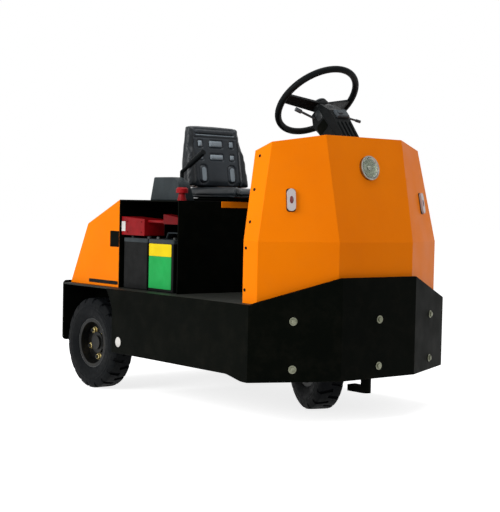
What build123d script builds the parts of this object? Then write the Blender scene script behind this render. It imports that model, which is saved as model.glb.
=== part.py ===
"""Three-wheel electric tow tractor, one solid per piece.

Millimetres. X points to the vehicle's left, Y to its rear and Z up.
Stations along Y are counted from the front bumper's face. Each piece is moved at
the end so that the origin is on the floor, in the middle of the footprint.
"""
from build123d import *
from math import cos, pi, radians, sin, sqrt
import os

os.makedirs("parts", exist_ok=True)

# General clearances
run_gap = 0.3            # faces that turn or slide past each other
shaft_gap = 0.1          # radial play of a shaft in its bore
cut_past = 50.0          # cutting forms reach this far past a piece

# Chassis plates
body_half = 550.0        # outer face of the side plates
plate_t = 12.0           # side plates and bumpers
deck_top = 474.0         # floor height
deck_t = 8.0
sill_z = 194.0           # lower edge of the side plates
nose_z = 174.0           # lower edge of the front bumper
nose_end_y = 200.0       # the side plate stays deep up to here
nose_rise = 95.0         # length of the slope from the nose up to the sill
nose_fillet = 120.0
arch_ahead = 257.0       # the wheel arch's upright edge ahead of the rear axle
arch_upright_z = 385.0   # where that edge ends
arch_bend_back = 24.0    # then it leans back in two steps
arch_bend_rise = 52.0
arch_top_back = 50.0

# Front bumper, three flat faces
bumper_half = 207.0
bumper_sweep = 160.0     # how far the corners lie behind the front face
bumper_top = 580.0

# Rear bumper plate
rear_face_y = 1625.0
rear_half = 500.0
rear_low = 200.0
rear_lip = 10.0          # the plate stands this far above the deck
rear_corner = 18.0

# Wheels, tyre 4.00-8
front_axle_y = 373.0
wheelbase = 1002.0
track = 890.0
tyre_r = 207.5
tyre_w = 112.0
tread_half = 43.0
groove_depth = 9.5
groove_w = 18.0
groove_slant = 14.0      # from the axle's direction, in degrees
groove_cross = 6.0       # each groove runs this far past the middle
groove_count = 18        # in each of two staggered rows
tyre_facets = 36
bulge_r = 152.0
shoulder_r = 190.0
shoulder_half = 54.0
bead_seat_r = 101.6
rim_flange_r = 114.0
rim_flange_t = 5.0
rim_half = 43.0
rim_t = 5.0
disc_t = 7.0
disc_offset = -6.0       # rear wheel's disc, outboard of the rim's middle
bead_gap = 0.2

# Hubs and axles
rear_hub_r = 48.0
rear_hub_in = 34.0       # hub inboard of the disc
rear_hub_out = 22.0      # and outboard of its inner face
rear_stub_r = 26.0
rear_cap_r = 32.0
rear_cap_len = 8.0
cap_seat = 2.0
stud_circle_r = 66.0
stud_r = 8.0
stud_len = 20.0
stud_count = 5
front_hub_r = 32.0
front_pin_r = 12.5
axle_tube_r = 40.0
axle_flange_r = 66.0
axle_flange_t = 14.0
diff_r = 105.0
diff_half = 72.0
axle_pad_w = 64.0
axle_pad_len = 110.0
motor_r = 92.0
motor_len = 250.0
motor_neck_r = 60.0
motor_neck_len = 30.0

# Steered fork under the floor, standing turned to the right
steer_rest = 20.0
crown_gap = 15.0         # tyre to fork crown
crown_t = 14.0
crown_r = 100.0
cheek_gap = 14.0         # tyre to fork cheek
cheek_t = 14.0
cheek_top_half = 62.0
cheek_end_r = 36.0
kingpin_r = 25.0
bearing_r = 92.0
pin_head_r = 20.0
pin_head_t = 10.0
cheek_play = 2.0         # hub to fork cheek

# Frame rails under the deck
rail_x = 270.0           # inner edge of the rails
rail_w = 52.0
rail_h = 112.0
rail_t = 6.0

# Front cowl, a faceted sheet hood
cowl_sheet = 3.0
cowl_inset = 25.0        # its front face behind the bumper's
cowl_kink_z = 718.0
cowl_top_z = 1142.0
cowl_front_half = 207.0
cowl_side_half = 501.0
cowl_side_y = 172.0
cowl_rear_y = 260.0
cowl_top_front_half = 213.0
cowl_top_side_half = 405.0
cowl_top_front_y = 112.0
cowl_top_rear_y = 305.0
cowl_top_slope = 0.366   # fall of the top towards the driver
dash_sheet = 4.0
dash_set_in = 14.0       # dash behind the cowl's rear edge
dash_toe = 70.0          # the dash's foot is this far ahead of its kink

# Lamps
lamp_drop = 126.0        # below the cowl's top edge
lamp_r = 50.0
lamp_rim = 7.0
lamp_stand = 12.0
lamp_dome = 8.0
lamp_body_r = 40.0
lamp_body_len = 45.0
lamp_back_t = 3.0
lens_gap = 0.3
marker_z = 880.0
marker_along = 0.62      # place on the slanted face, 0 at its front edge
marker_w = 34.0
marker_h = 88.0
marker_t = 12.0
tail_x = 400.0
tail_z = 560.0
tail_r = 45.0
tail_t = 14.0

# Steering wheel and column
wheel_y = 405.0
wheel_rise = 163.0       # wheel centre above the cowl's top edge
wheel_tilt = 42.6        # its plane from horizontal
wheel_ring_r = 182.0
wheel_tube_r = 14.0
wheel_hub_r = 37.0
wheel_hub_len = 30.0
wheel_hub_edge = 8.0
wheel_dish = 24.0        # ring plane above the hub's top
wheel_spoke_hub_w = 52.0
wheel_spoke_ring_w = 44.0
wheel_spoke_t = 12.0
wheel_spokes = (0, 180)  # angles in the ring's plane, 90 towards the driver
column_r = 24.0
column_tail = 60.0       # column inside the cowl
shroud_half = 45.0
# Shroud in side view: distance down the column from the wheel's hub, and forward of its axis
shroud_line = [
    (6, -30), (22, -41), (52, -59), (90, -51), (250, -36),
    (250, 48), (108, 62), (65, 62), (6, 36),
]
pod_down = 54.0          # switch pod on the shroud's left side, along the column
pod_ahead = 14.0
pod_w = 50.0
pod_d = 46.0
pod_h = 58.0
pod_edge = 8.0
# Stalks: down the column, ahead of it and sideways at root and tip, then rod, grip and grip length
stalks = [
    (62, 22, 90, 82, 24, 150, 4.5, 6.5, 22),
    (30, -26, -44, -18, -24, -126, 5.0, 9.0, 28),
]

# Seat box, battery bay and rear hood
box_half = 467.0
box_sheet = 6.0
box_front_y = 742.0
box_top = 871.0
bay_rear_y = 1195.0
strip_half = 240.0
strip_h = 27.0
strip_t = 4.0
hood_sheet = 4.0
hood_foot_y = 1606.0
hood_knee_y = 1461.0
hood_knee_z = 757.0
hood_knee_fillet = 25.0

# Seat
seat_rail_x = 130.0
seat_rail_w = 34.0
seat_rail_h = 14.0
seat_rail_start = 10.0   # behind the seat box's front
seat_front_y = 695.0
pan_half = 184.0
pan_t = 4.0
pan_start = 60.0         # behind the cushion's front
cushion_half = 205.0
cushion_len = 395.0
cushion_h = 42.0
cushion_fillet = 18.0
cushion_nose_r = 20.0
bolster_w = 42.0
bolster_rise = 10.0
bolster_slope = 24.0     # its ends lean in by this much
back_half = 150.0
back_top_half = 144.0
back_corner_r = 40.0
back_top_z = 1220.0
back_top_y = 1118.0      # front of its top edge
back_lean = 50.0         # its foot is this far ahead
back_top_t = 50.0
back_foot_t = 77.0
wing_half = 185.0        # side bolsters at the backrest's foot
wing_in = 110.0
wing_ahead = 13.0
wing_t = 55.0
wing_top_z = 1120.0
stay_half = 60.0
stay_t = 8.0
stay_top_z = 1030.0

# Side console, isolator knob and brake lever
console_x = 400.0
console_foot_w = 88.0
console_top_w = 52.0
console_front_y = 838.0
console_len = 215.0
console_rear_lean = 28.0
console_h = 102.0
console_nose_r = 52.0
knob_x = 405.0
knob_gap = 32.0          # its middle ahead of the console
# Knob's outline: radius and height above the deck
knob_line = [(0, 0), (20, 0), (13, 33), (26, 33), (26, 50), (19, 57), (0, 57)]
lever_x = 300.0
lever_foot_y = 955.0
lever_elbow_y = 953.0
lever_elbow_z = 999.0
lever_tip_y = 798.0
lever_tip_z = 1084.0
lever_r = 9.0
lever_grip_r = 12.5
lever_grip_len = 120.0
lever_foot_w = 20.0      # base plate across, each way
lever_foot_len = 44.0    # and along
lever_foot_t = 8.0

# Batteries and what shows with them
battery_w = 190.0
battery_len = 184.0
battery_h = 226.0
battery_gap = 12.0
battery_start = 38.0     # behind the front wall
battery_margin = 8.0     # from the bay's open sides
handle_w = 26.0
handle_t = 7.0
handle_rise = 32.0
handle_inset = 8.0
handle_slope = 16.0
power_len = 181.0
power_w = 110.0
power_rear_h = 83.0
power_front_h = 74.0
power_z = 713.0
connector_len = 118.0
connector_w = 50.0
connector_h = 44.0
connector_front_h = 30.0
connector_over = 3.0     # its foot under the cable
cable_r = 7.0
cable_drop = 2.0         # below the power box's top edge

# Pedals
pedal_x = 120.0
pedal_w = 70.0
pedal_h = 90.0
pedal_t = 10.0
pedal_z = 560.0
pedal_reach = 60.0
pedal_arm_r = 8.0
pedal_lean = 20.0

# Front towing eye, an upright socket with a bar to its rear
eye_tube_r = 21.0
eye_hole_r = 13.0
eye_y = 70.0
eye_low = 106.0
eye_top = 240.0
eye_web_half = 8.0
eye_pad_half = 34.0
eye_pad_t = 10.0
eye_pad_low = 178.0
eye_bar_half = 22.0
eye_bar_h = 27.0
eye_bar_end = 155.0

# Rear coupling with its drop pin
jaw_back_half = 70.0
jaw_back_t = 14.0
jaw_back_low = 262.0
jaw_back_high = 430.0
jaw_half = 46.0
jaw_reach = 62.0         # pin centre behind the backing plate
jaw_low = 300.0
jaw_t = 16.0
jaw_gap = 60.0
hitch_pin_r = 14.0
hitch_pin_tip = 10.0
hitch_collar_r = 21.0
hitch_collar_h = 10.0
hitch_grip_r = 6.0
hitch_grip_rise = 36.0
hitch_grip_half = 38.0
hitch_neck_r = 8.5

# Derived stations and slopes
rear_axle_y = front_axle_y + wheelbase
arch_y = rear_axle_y - arch_ahead
wheel_z = cowl_top_z + wheel_rise
lamp_z = cowl_top_z - lamp_drop
bay_front_y = box_front_y + box_sheet
axle_z = tyre_r
nose_slope = bumper_sweep / (body_half - bumper_half)
plate_inner = body_half - plate_t
rear_inner_y = rear_face_y - plate_t
deck_low = deck_top - deck_t
pin_y = rear_face_y + jaw_back_t + jaw_reach
overall_len = pin_y + jaw_half
tilt = radians(wheel_tilt)
lean = Vector(0, sin(tilt), cos(tilt))       # the column's direction, up to the driver
to_origin = Pos(0, -overall_len / 2, 0)


def save(shape, node):
    """Write one piece in the part's own frame."""
    export_step(to_origin * shape, f"parts/{node}.step")


def block(x0, x1, y0, y1, z0, z1):
    """A rectangular block between two corners."""
    centre = Pos((x0 + x1) / 2, (y0 + y1) / 2, (z0 + z1) / 2)
    return centre * Box(x1 - x0, y1 - y0, z1 - z0)


def side_profile(points, x0, x1, rounds=()):
    """Extrude an outline in (y, z) across the vehicle; rounds are (corner, radius)."""
    face = make_face(Plane.YZ * Polyline(*points, close=True))
    for corner, radius in rounds:
        near = Vector(0, points[corner][0], points[corner][1])
        face = fillet(face.vertices().sort_by_distance(near)[0], radius)
    return Pos(x0, 0, 0) * extrude(face, x1 - x0, dir=(1, 0, 0))


def plan_profile(points, z0, z1):
    """Extrude an outline in (x, y) upwards."""
    return Pos(0, 0, z0) * extrude(make_face(Polyline(*points, close=True)), z1 - z0, dir=(0, 0, 1))


def front_profile(points, y0, y1):
    """Extrude an outline in (x, z) to the rear."""
    face = make_face(Plane.XZ * Polyline(*points, close=True))
    return Pos(0, y0, 0) * extrude(face, y1 - y0, dir=(0, 1, 0))


def rod(start, end, radius):
    """A round bar between two points."""
    a, b = Vector(start), Vector(end)
    place = Plane(origin=a, z_dir=b - a)
    return place * Cylinder(radius, (b - a).length, align=(Align.CENTER, Align.CENTER, Align.MIN))


def spun(sections, place):
    """Revolve outlines in (radius, distance along) about a plane's normal."""
    solid = None
    for outline in sections:
        face = make_face(Plane.XZ * Polyline(*outline, close=True))
        ring = revolve(face, Axis.Z, 360)
        solid = ring if solid is None else solid + ring
    return place * solid


def mirrored(points):
    """The outline of a right half, closed with its mirror image."""
    return points + [(-x, y) for x, y in reversed(points)]


def nose_y(x, inset):
    """Station of the bumper's outer face, moved inwards by inset."""
    return max(inset, (abs(x) - bumper_half) * nose_slope + inset * sqrt(1 + nose_slope ** 2))


def nose_corner(inset):
    """Where the front and the slanted face meet, moved inwards by inset."""
    x = bumper_half + (inset - inset * sqrt(1 + nose_slope ** 2)) / nose_slope
    return (x, inset)


# Deck
deck_step_y = arch_y + arch_top_back
deck_plan = mirrored([
    nose_corner(plate_t),
    (plate_inner, nose_y(plate_inner, plate_t)),
    (plate_inner, deck_step_y),
    (rear_half, deck_step_y),
    (rear_half, rear_inner_y),
])
save(plan_profile(deck_plan, deck_low, deck_top), "floor_plate")

# Side plates, deep at the nose, with a three-edged wheel arch
side_outline = [
    (bumper_sweep, nose_z),
    (nose_end_y, nose_z),
    (nose_end_y + nose_rise, sill_z),
    (arch_y, sill_z),
    (arch_y, arch_upright_z),
    (arch_y + arch_bend_back, arch_upright_z + arch_bend_rise),
    (arch_y + arch_top_back, deck_top),
    (bumper_sweep, deck_top),
]
for node, low_x in (("side_plate_left", plate_inner), ("side_plate_right", -body_half)):
    save(side_profile(side_outline, low_x, low_x + plate_t, ((1, nose_fillet), (2, nose_fillet))), node)

# Front bumper, its top falling to the corners
bumper_plan = mirrored([
    (bumper_half, 0),
    (body_half, bumper_sweep),
    (body_half - plate_t * sqrt(1 + nose_slope ** 2) / nose_slope, bumper_sweep),
    nose_corner(plate_t),
])
half_plan = bumper_plan[:4]
bumper = plan_profile(half_plan + [(-x, y) for x, y in reversed(half_plan)], nose_z, bumper_top)
crest = [(body_half, deck_top), (bumper_half, bumper_top), (-bumper_half, bumper_top), (-body_half, deck_top)]
above = crest + [(-body_half, bumper_top + body_half), (body_half, bumper_top + body_half)]
above_cut = front_profile(above, -bumper_sweep, 2 * bumper_sweep)
save(bumper - above_cut, "front_bumper")

# Rear bumper plate
rear_plate = block(-rear_half, rear_half, rear_inner_y, rear_face_y, rear_low, deck_top + rear_lip)
save(fillet(rear_plate.edges().filter_by(Axis.Y), rear_corner), "rear_bumper")

# Frame rails, channels open to the middle
rail_front_y = nose_y(rail_x + rail_w, plate_t)
rails = []
for side in (-1, 1):
    web_x = side * (rail_x + rail_w)
    rail_span = sorted((web_x, web_x - side * rail_w))
    solid = block(*rail_span, rail_front_y, rear_inner_y, deck_low - rail_h, deck_low)
    hollow = block(
        *sorted((web_x - side * rail_t, web_x - side * (rail_w + rail_t))),
        rail_front_y - rail_t, rear_inner_y + rail_t,
        deck_low - rail_h + rail_t, deck_low - rail_t,
    )
    rails.append(solid - hollow)
save(Compound(children=rails), "frame_rails")

# Front towing eye
eye = block(-eye_pad_half, eye_pad_half, plate_t, plate_t + eye_pad_t, eye_pad_low, eye_top)
eye += block(-eye_web_half, eye_web_half, plate_t, eye_y, eye_pad_low, eye_top)
eye += rod((0, eye_y, eye_low), (0, eye_y, eye_top), eye_tube_r)
eye += block(-eye_bar_half, eye_bar_half, eye_y, eye_bar_end, eye_low, eye_low + eye_bar_h)
eye -= rod((0, eye_y, eye_low - cut_past), (0, eye_y, eye_top + cut_past), eye_hole_r)
save(eye, "front_towing_eye")

# Rear coupling
jaw_top = jaw_low + 2 * jaw_t + jaw_gap
coupling = block(
    -jaw_back_half, jaw_back_half, rear_face_y, rear_face_y + jaw_back_t, jaw_back_low, jaw_back_high
)
for low in (jaw_low, jaw_low + jaw_t + jaw_gap):
    coupling += block(-jaw_half, jaw_half, rear_face_y + jaw_back_t, pin_y, low, low + jaw_t)
    coupling += Pos(0, pin_y, low + jaw_t / 2) * Cylinder(jaw_half, jaw_t)
coupling -= Pos(0, pin_y, jaw_low) * Cylinder(hitch_pin_r + shaft_gap, 4 * (jaw_gap + jaw_t))
save(coupling, "rear_coupling")

# Drop pin with a collar and a cross grip
collar_z = jaw_top + run_gap
grip_z = collar_z + hitch_collar_h + hitch_grip_rise
pin = rod((0, pin_y, jaw_low - hitch_pin_tip), (0, pin_y, collar_z), hitch_pin_r)
pin += rod((0, pin_y, collar_z), (0, pin_y, collar_z + hitch_collar_h), hitch_collar_r)
pin += rod((0, pin_y, collar_z), (0, pin_y, grip_z), hitch_neck_r)
pin += rod((-hitch_grip_half, pin_y, grip_z), (hitch_grip_half, pin_y, grip_z), hitch_grip_r)
save(pin, "coupling_pin")


def cowl_section(front_half, side_half, front_y, side_y, rear_y, z):
    """One level of the cowl, from its right rear corner round the nose."""
    half = [(front_half, front_y), (side_half, side_y), (side_half, rear_y)]
    return [(x, y, z) for x, y in mirrored(half)]


def faceted(sections):
    """A closed solid with flat faces through sections of equal count."""
    faces = [Face(Wire.make_polygon(end, close=True)) for end in (sections[0], sections[-1])]
    for low, high in zip(sections, sections[1:]):
        for i in range(len(low)):
            j = (i + 1) % len(low)
            faces.append(Face(Wire.make_polygon([low[i], low[j], high[j], high[i]], close=True)))
    return Solid(Shell(faces))


# Cowl: upright to the kink, then drawn in to a top that falls towards the driver
cowl_facet = (cowl_side_y - cowl_inset) / (cowl_side_half - cowl_front_half)
cowl_top_side_y = cowl_top_front_y + cowl_facet * (cowl_top_side_half - cowl_top_front_half)


def cowl_form(inset):
    """The cowl's outer form, or its inner form when inset by a sheet."""
    skew = inset * (sqrt(1 + cowl_facet ** 2) - 1) / cowl_facet
    lower = (cowl_front_half - skew, cowl_side_half - inset, cowl_inset + inset)
    lower += (cowl_inset + inset + cowl_facet * (cowl_side_half - inset - cowl_front_half + skew), cowl_rear_y)
    upper = (cowl_top_front_half - skew, cowl_top_side_half - inset, cowl_top_front_y + inset)
    upper_run = cowl_top_side_half - inset - cowl_top_front_half + skew
    upper += (cowl_top_front_y + inset + cowl_facet * upper_run, cowl_top_rear_y)
    form = faceted([
        cowl_section(*lower, deck_top),
        cowl_section(*lower, cowl_kink_z),
        cowl_section(*upper, cowl_top_z),
    ])
    drop = inset * sqrt(1 + cowl_top_slope ** 2)
    start_y, end_y = cowl_top_front_y - cut_past, cowl_top_rear_y + cut_past
    start_z = cowl_top_z - drop + cowl_top_slope * cut_past
    fall = [
        (start_y, start_z), (end_y, start_z - cowl_top_slope * (end_y - start_y)),
        (end_y, cowl_top_z + cut_past), (start_y, cowl_top_z + cut_past),
    ]
    return form - side_profile(fall, -body_half, body_half)


def cowl_rear(z):
    """Station of the cowl's rear edge at height z."""
    rise = max(0, z - cowl_kink_z) / (cowl_top_z - cowl_kink_z)
    return cowl_rear_y + (cowl_top_rear_y - cowl_rear_y) * rise


outer = cowl_form(0)
inner = cowl_form(cowl_sheet)
cowl = outer - inner

# Headlamp, square to the cowl's upper front face
face_lean = (cowl_top_front_y - cowl_inset) / (cowl_top_z - cowl_kink_z)
lamp_y = cowl_inset + face_lean * (lamp_z - cowl_kink_z)
lamp_plane = Plane(origin=(0, lamp_y, lamp_z), x_dir=(1, 0, 0), z_dir=(0, -1, face_lean))
up_align = (Align.CENTER, Align.CENTER, Align.MIN)
down_align = (Align.CENTER, Align.CENTER, Align.MAX)
cowl -= lamp_plane * Cylinder(lamp_body_r + run_gap, 4 * cowl_sheet)
bezel = lamp_plane * Cylinder(lamp_r, lamp_stand, align=up_align)
bezel += lamp_plane * Cylinder(lamp_body_r, lamp_body_len, align=down_align)
bezel -= lamp_plane * Pos(0, 0, lamp_back_t) * Cylinder(lamp_r - lamp_rim, lamp_stand, align=up_align)
save(bezel, "headlamp_body")
lens_r = lamp_r - lamp_rim - lens_gap
dome_r = (lens_r ** 2 + lamp_dome ** 2) / (2 * lamp_dome)
lens_rod = Pos(0, 0, lamp_back_t) * Cylinder(lens_r, lamp_stand - lamp_back_t + lamp_dome, align=up_align)
lens = lens_rod & Pos(0, 0, lamp_stand + lamp_dome - dome_r) * Sphere(dome_r)
save(lamp_plane * lens, "headlamp_lens")

# Column through the cowl's top
wheel_centre = Vector(0, wheel_y, wheel_z)
rise = wheel_z - cowl_top_z + cowl_top_slope * (wheel_y - cowl_top_front_y)
column_len = rise / (cos(tilt) + cowl_top_slope * sin(tilt))
column_foot = wheel_centre - lean * column_len
column_plane = Plane(origin=column_foot, x_dir=(1, 0, 0), z_dir=lean)
cowl -= column_plane * Cylinder(column_r + run_gap, 4 * column_r)
save(cowl, "cowl")

# Dash panel inside the cowl's rear edges, with its foot set forward for the toes
dash_line = [
    (cowl_rear_y - dash_set_in - dash_toe, deck_top),
    (cowl_rear_y - dash_set_in, cowl_kink_z),
    (cowl_rear(cowl_top_z) - dash_set_in, cowl_top_z),
]
dash_band = dash_line + [(y - dash_sheet, z) for y, z in reversed(dash_line)]
dash = side_profile(dash_band, -cowl_side_half, cowl_side_half) & inner
save(dash, "dash_panel")

# Column tube in a moulded shroud that stands on the cowl
hub_low = -wheel_dish - wheel_hub_len
tube_top = column_len + hub_low - run_gap


def on_column(down, ahead, x=0):
    """A point by its distance down the column from the wheel's hub, and forward of its axis."""
    forward = Vector(0, -cos(tilt), sin(tilt))
    return wheel_centre + lean * (hub_low - down) + forward * ahead + Vector(x, 0, 0)


shroud_points = [on_column(down, ahead) for down, ahead in shroud_line]
shroud = side_profile([(p.Y, p.Z) for p in shroud_points], -shroud_half, shroud_half) - outer
column = column_plane * Pos(0, 0, -column_tail) * Cylinder(column_r, tube_top + column_tail, align=up_align)
save(column + shroud, "steering_column")

# Switch pod and stalks on the shroud's sides
pod_place = Plane(origin=on_column(pod_down, pod_ahead, shroud_half + pod_w / 2), x_dir=(1, 0, 0), z_dir=lean)
pod = Box(pod_w, pod_d, pod_h)
switch_parts = [pod_place * chamfer(pod.faces().sort_by(Axis.X)[-1].edges(), pod_edge)]
for down, ahead, x, tip_down, tip_ahead, tip_x, thin_r, grip_r, grip_len in stalks:
    root, tip = on_column(down, ahead, x), on_column(tip_down, tip_ahead, tip_x)
    grip_root = tip - (tip - root).normalized() * grip_len
    stalk = rod(root, grip_root, thin_r) + rod(grip_root, tip, grip_r)
    if x > 0:
        switch_parts[0] += stalk
    else:
        switch_parts.append(stalk - shroud)
save(Compound(children=switch_parts), "column_switch")

# Steering wheel, dished
wheel_plane = Plane(origin=wheel_centre, x_dir=(1, 0, 0), z_dir=lean)
save(wheel_plane * Torus(wheel_ring_r, wheel_tube_r), "steering_rim")
hub = Pos(0, 0, hub_low) * Cylinder(wheel_hub_r, wheel_hub_len, align=up_align)
hub = chamfer(hub.edges().group_by(Axis.Z)[-1], wheel_hub_edge)
for angle in wheel_spokes:
    out = Vector(cos(radians(angle)), sin(radians(angle)), 0)
    across = Vector(-out.Y, out.X, 0)
    start = out * (wheel_hub_r / 2) + Vector(0, 0, hub_low + wheel_hub_len / 2)
    run = out * wheel_ring_r - start
    spoke_line = [
        (0, -wheel_spoke_hub_w / 2), (run.length, -wheel_spoke_ring_w / 2),
        (run.length, wheel_spoke_ring_w / 2), (0, wheel_spoke_hub_w / 2),
    ]
    spoke = extrude(make_face(Polyline(*spoke_line, close=True)), wheel_spoke_t / 2, both=True)
    hub += Plane(origin=start, x_dir=run, z_dir=run.cross(across)) * spoke
save(wheel_plane * hub, "steering_hub")

# Marker lamps on the slanted faces
marker_rise = (marker_z - cowl_kink_z) / (cowl_top_z - cowl_kink_z)
level_front = cowl_front_half + (cowl_top_front_half - cowl_front_half) * marker_rise
level_side = cowl_side_half + (cowl_top_side_half - cowl_side_half) * marker_rise
level_y = cowl_inset + (cowl_top_front_y - cowl_inset) * marker_rise
mark_x = level_front + marker_along * (level_side - level_front)
mark_y = level_y + cowl_facet * (mark_x - level_front)
along = Vector(1, cowl_facet, 0)
up_edge = Vector(cowl_top_front_half - cowl_front_half, cowl_top_front_y - cowl_inset, cowl_top_z - cowl_kink_z)
marker_normal = along.cross(up_edge)
marker_plane = Plane(origin=(mark_x, mark_y, marker_z), x_dir=along, z_dir=marker_normal)
marker = marker_plane * extrude(SlotOverall(marker_h, marker_w, rotation=90), marker_t)
markers = [marker, mirror(marker, Plane.YZ)]
save(Compound(children=markers), "marker_lamps")

# Pedals on arms from the dash
pedal_set = []
behind_dash = side_profile(dash_line + [(0, cowl_top_z), (0, deck_top)], -body_half, body_half)
dash_y = dash_line[0][0] + dash_toe * (pedal_z - deck_top) / (cowl_kink_z - deck_top)
for side in (-1, 1):
    pad_place = Pos(side * pedal_x, dash_y + pedal_reach, pedal_z) * Rot(pedal_lean, 0, 0)
    pad = pad_place * Box(pedal_w, pedal_t, pedal_h)
    arm = rod((side * pedal_x, dash_y, pedal_z), (side * pedal_x, dash_y + pedal_reach, pedal_z), pedal_arm_r)
    pedal_set.append((pad + arm) - behind_dash)
save(Compound(children=pedal_set), "pedals")

# Seat box: front wall, top plate and the wall before the rear hood
wall_top = box_top - box_sheet
save(block(-box_half, box_half, box_front_y, bay_front_y, deck_top, wall_top), "seat_box_front")
save(block(-box_half, box_half, box_front_y, bay_rear_y, wall_top, box_top), "seat_deck")
save(block(-box_half, box_half, bay_rear_y - box_sheet, bay_rear_y, deck_top, wall_top), "bay_rear_wall")
strip = block(-strip_half, strip_half, box_front_y - strip_t, box_front_y, box_top - strip_h, box_top)
save(strip, "seat_box_strip")

# Rear hood, a sheet shell open below and in front
hood_line = [
    (bay_rear_y, deck_top), (hood_foot_y, deck_top), (hood_knee_y, hood_knee_z), (bay_rear_y, box_top),
]
hood = side_profile(hood_line, -box_half, box_half, ((2, hood_knee_fillet),))
hood_open = [hood.faces().sort_by(Axis.Z)[0], hood.faces().sort_by(Axis.Y)[0]]
hood = offset(hood, amount=-hood_sheet, openings=hood_open, kind=Kind.INTERSECTION)
save(hood, "rear_hood")

# Tail lamps low on the hood's rear face
hood_run = Vector(0, hood_knee_y - hood_foot_y, hood_knee_z - deck_top)
tail_y = hood_foot_y + hood_run.Y * (tail_z - deck_top) / hood_run.Z
tail_lamps = []
for side in (-1, 1):
    rearward = (0, hood_run.Z, -hood_run.Y)
    tail_plane = Plane(origin=(side * tail_x, tail_y, tail_z), x_dir=(1, 0, 0), z_dir=rearward)
    tail_lamps.append(tail_plane * Cylinder(tail_r, tail_t, align=up_align))
save(Compound(children=tail_lamps), "tail_lamps")

# Seat: rails and pan
pan_z = box_top + seat_rail_h
seat_end_y = seat_front_y + cushion_len
rails = block(-pan_half, pan_half, seat_front_y + pan_start, seat_end_y, pan_z - pan_t, pan_z)
for side in (-1, 1):
    rail_edge = sorted((side * seat_rail_x, side * (seat_rail_x + seat_rail_w)))
    rails += block(*rail_edge, box_front_y + seat_rail_start, seat_end_y, box_top, pan_z)
save(rails, "seat_base")

# Cushion with a rolled front and two side bolsters that end before the backrest's wings
cushion_z = pan_z + run_gap
cushion_top = cushion_z + cushion_h
back_foot_y = back_top_y - back_lean
cushion = block(-cushion_half, cushion_half, seat_front_y, seat_end_y, cushion_z, cushion_top)
cushion = fillet(cushion.edges().filter_by(Axis.Z), cushion_fillet)
cushion = fillet(cushion.edges().group_by(Axis.Z)[-1].group_by(Axis.Y)[0], cushion_nose_r)
bolster_end = back_foot_y - wing_ahead - run_gap
bolster_line = [
    (seat_front_y + cushion_nose_r, cushion_top - bolster_rise), (bolster_end, cushion_top - bolster_rise),
    (bolster_end - bolster_slope, cushion_top + bolster_rise),
    (seat_front_y + cushion_nose_r + bolster_slope, cushion_top + bolster_rise),
]
for side in (-1, 1):
    bolster_edge = sorted((side * cushion_half, side * (cushion_half - bolster_w)))
    cushion += side_profile(bolster_line, *bolster_edge)
save(cushion, "seat_cushion")

# Backrest leaning back, with wings at its foot
back_low_z = cushion_top + run_gap
back_line = [
    (back_foot_y, back_low_z), (back_top_y, back_top_z),
    (back_top_y + back_top_t, back_top_z), (back_foot_y + back_foot_t, back_low_z),
]
back_front = [
    (back_half, back_low_z), (back_top_half, back_top_z),
    (-back_top_half, back_top_z), (-back_half, back_low_z),
]
back = side_profile(back_line, -back_half, back_half) & front_profile(back_front, 0, rear_face_y)
top_edges = back.edges().filter_by_position(Axis.Z, back_top_z - run_gap, back_top_z + run_gap)
back = fillet(top_edges.filter_by(Axis.Y), back_corner_r)
wing_lean = back_lean * (wing_top_z - back_low_z) / (back_top_z - back_low_z)
wing_line = [
    (back_foot_y - wing_ahead, back_low_z), (back_foot_y + wing_lean, wing_top_z),
    (back_foot_y + wing_lean + wing_t / 2, wing_top_z), (back_foot_y - wing_ahead + wing_t, back_low_z),
]
for side in (-1, 1):
    wing_front = [(side * wing_in, back_low_z), (side * wing_half, back_low_z),
                  (side * back_top_half, wing_top_z), (side * wing_in, wing_top_z)]
    back += side_profile(wing_line, -wing_half, wing_half) & front_profile(wing_front, 0, rear_face_y)
save(back, "seat_backrest")

# Stay from the pan up behind the backrest
stay_y = back_foot_y + back_foot_t + run_gap
stay = block(-stay_half, stay_half, seat_end_y, stay_y + stay_t, pan_z - pan_t, pan_z + stay_t)
stay += block(-stay_half, stay_half, stay_y, stay_y + stay_t, pan_z, stay_top_z)
save(stay - back, "seat_stay")

# Side console, rounded in front and leaning in above
console_top = box_top + console_h
console_end_y = console_front_y + console_len
console_line = [
    (console_front_y, box_top), (console_end_y, box_top),
    (console_end_y - console_rear_lean, console_top), (console_front_y, console_top),
]
console = side_profile(console_line, -console_x, -console_x + console_foot_w, ((3, console_nose_r),))
console_front = [
    (-console_x, box_top), (-console_x + console_foot_w, box_top),
    (-console_x + console_top_w, console_top), (-console_x, console_top),
]
save(console & front_profile(console_front, 0, rear_face_y), "side_console")

# Isolator knob ahead of the console
knob_place = Plane(origin=(-knob_x, console_front_y - knob_gap, box_top), z_dir=(0, 0, 1))
save(spun([knob_line], knob_place), "isolator_knob")

# Parking brake lever beside the console
lever_foot = Vector(-lever_x, lever_foot_y, box_top)
lever_elbow = Vector(-lever_x, lever_elbow_y, lever_elbow_z)
lever_tip = Vector(-lever_x, lever_tip_y, lever_tip_z)
grip_root = lever_tip - (lever_tip - lever_elbow).normalized() * lever_grip_len
lever = rod(lever_foot, lever_elbow, lever_r) + Pos(*lever_elbow) * Sphere(lever_r)
lever += rod(lever_elbow, grip_root, lever_r) + rod(grip_root, lever_tip, lever_grip_r)
lever += block(
    -lever_x - lever_r, -lever_x + lever_foot_w, lever_foot_y - lever_foot_len, lever_foot_y + lever_foot_len,
    box_top, box_top + lever_foot_t,
)
under_deck = block(-box_half, box_half, box_front_y, bay_rear_y, box_top - cut_past, box_top)
save(lever - under_deck, "brake_lever")

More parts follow.
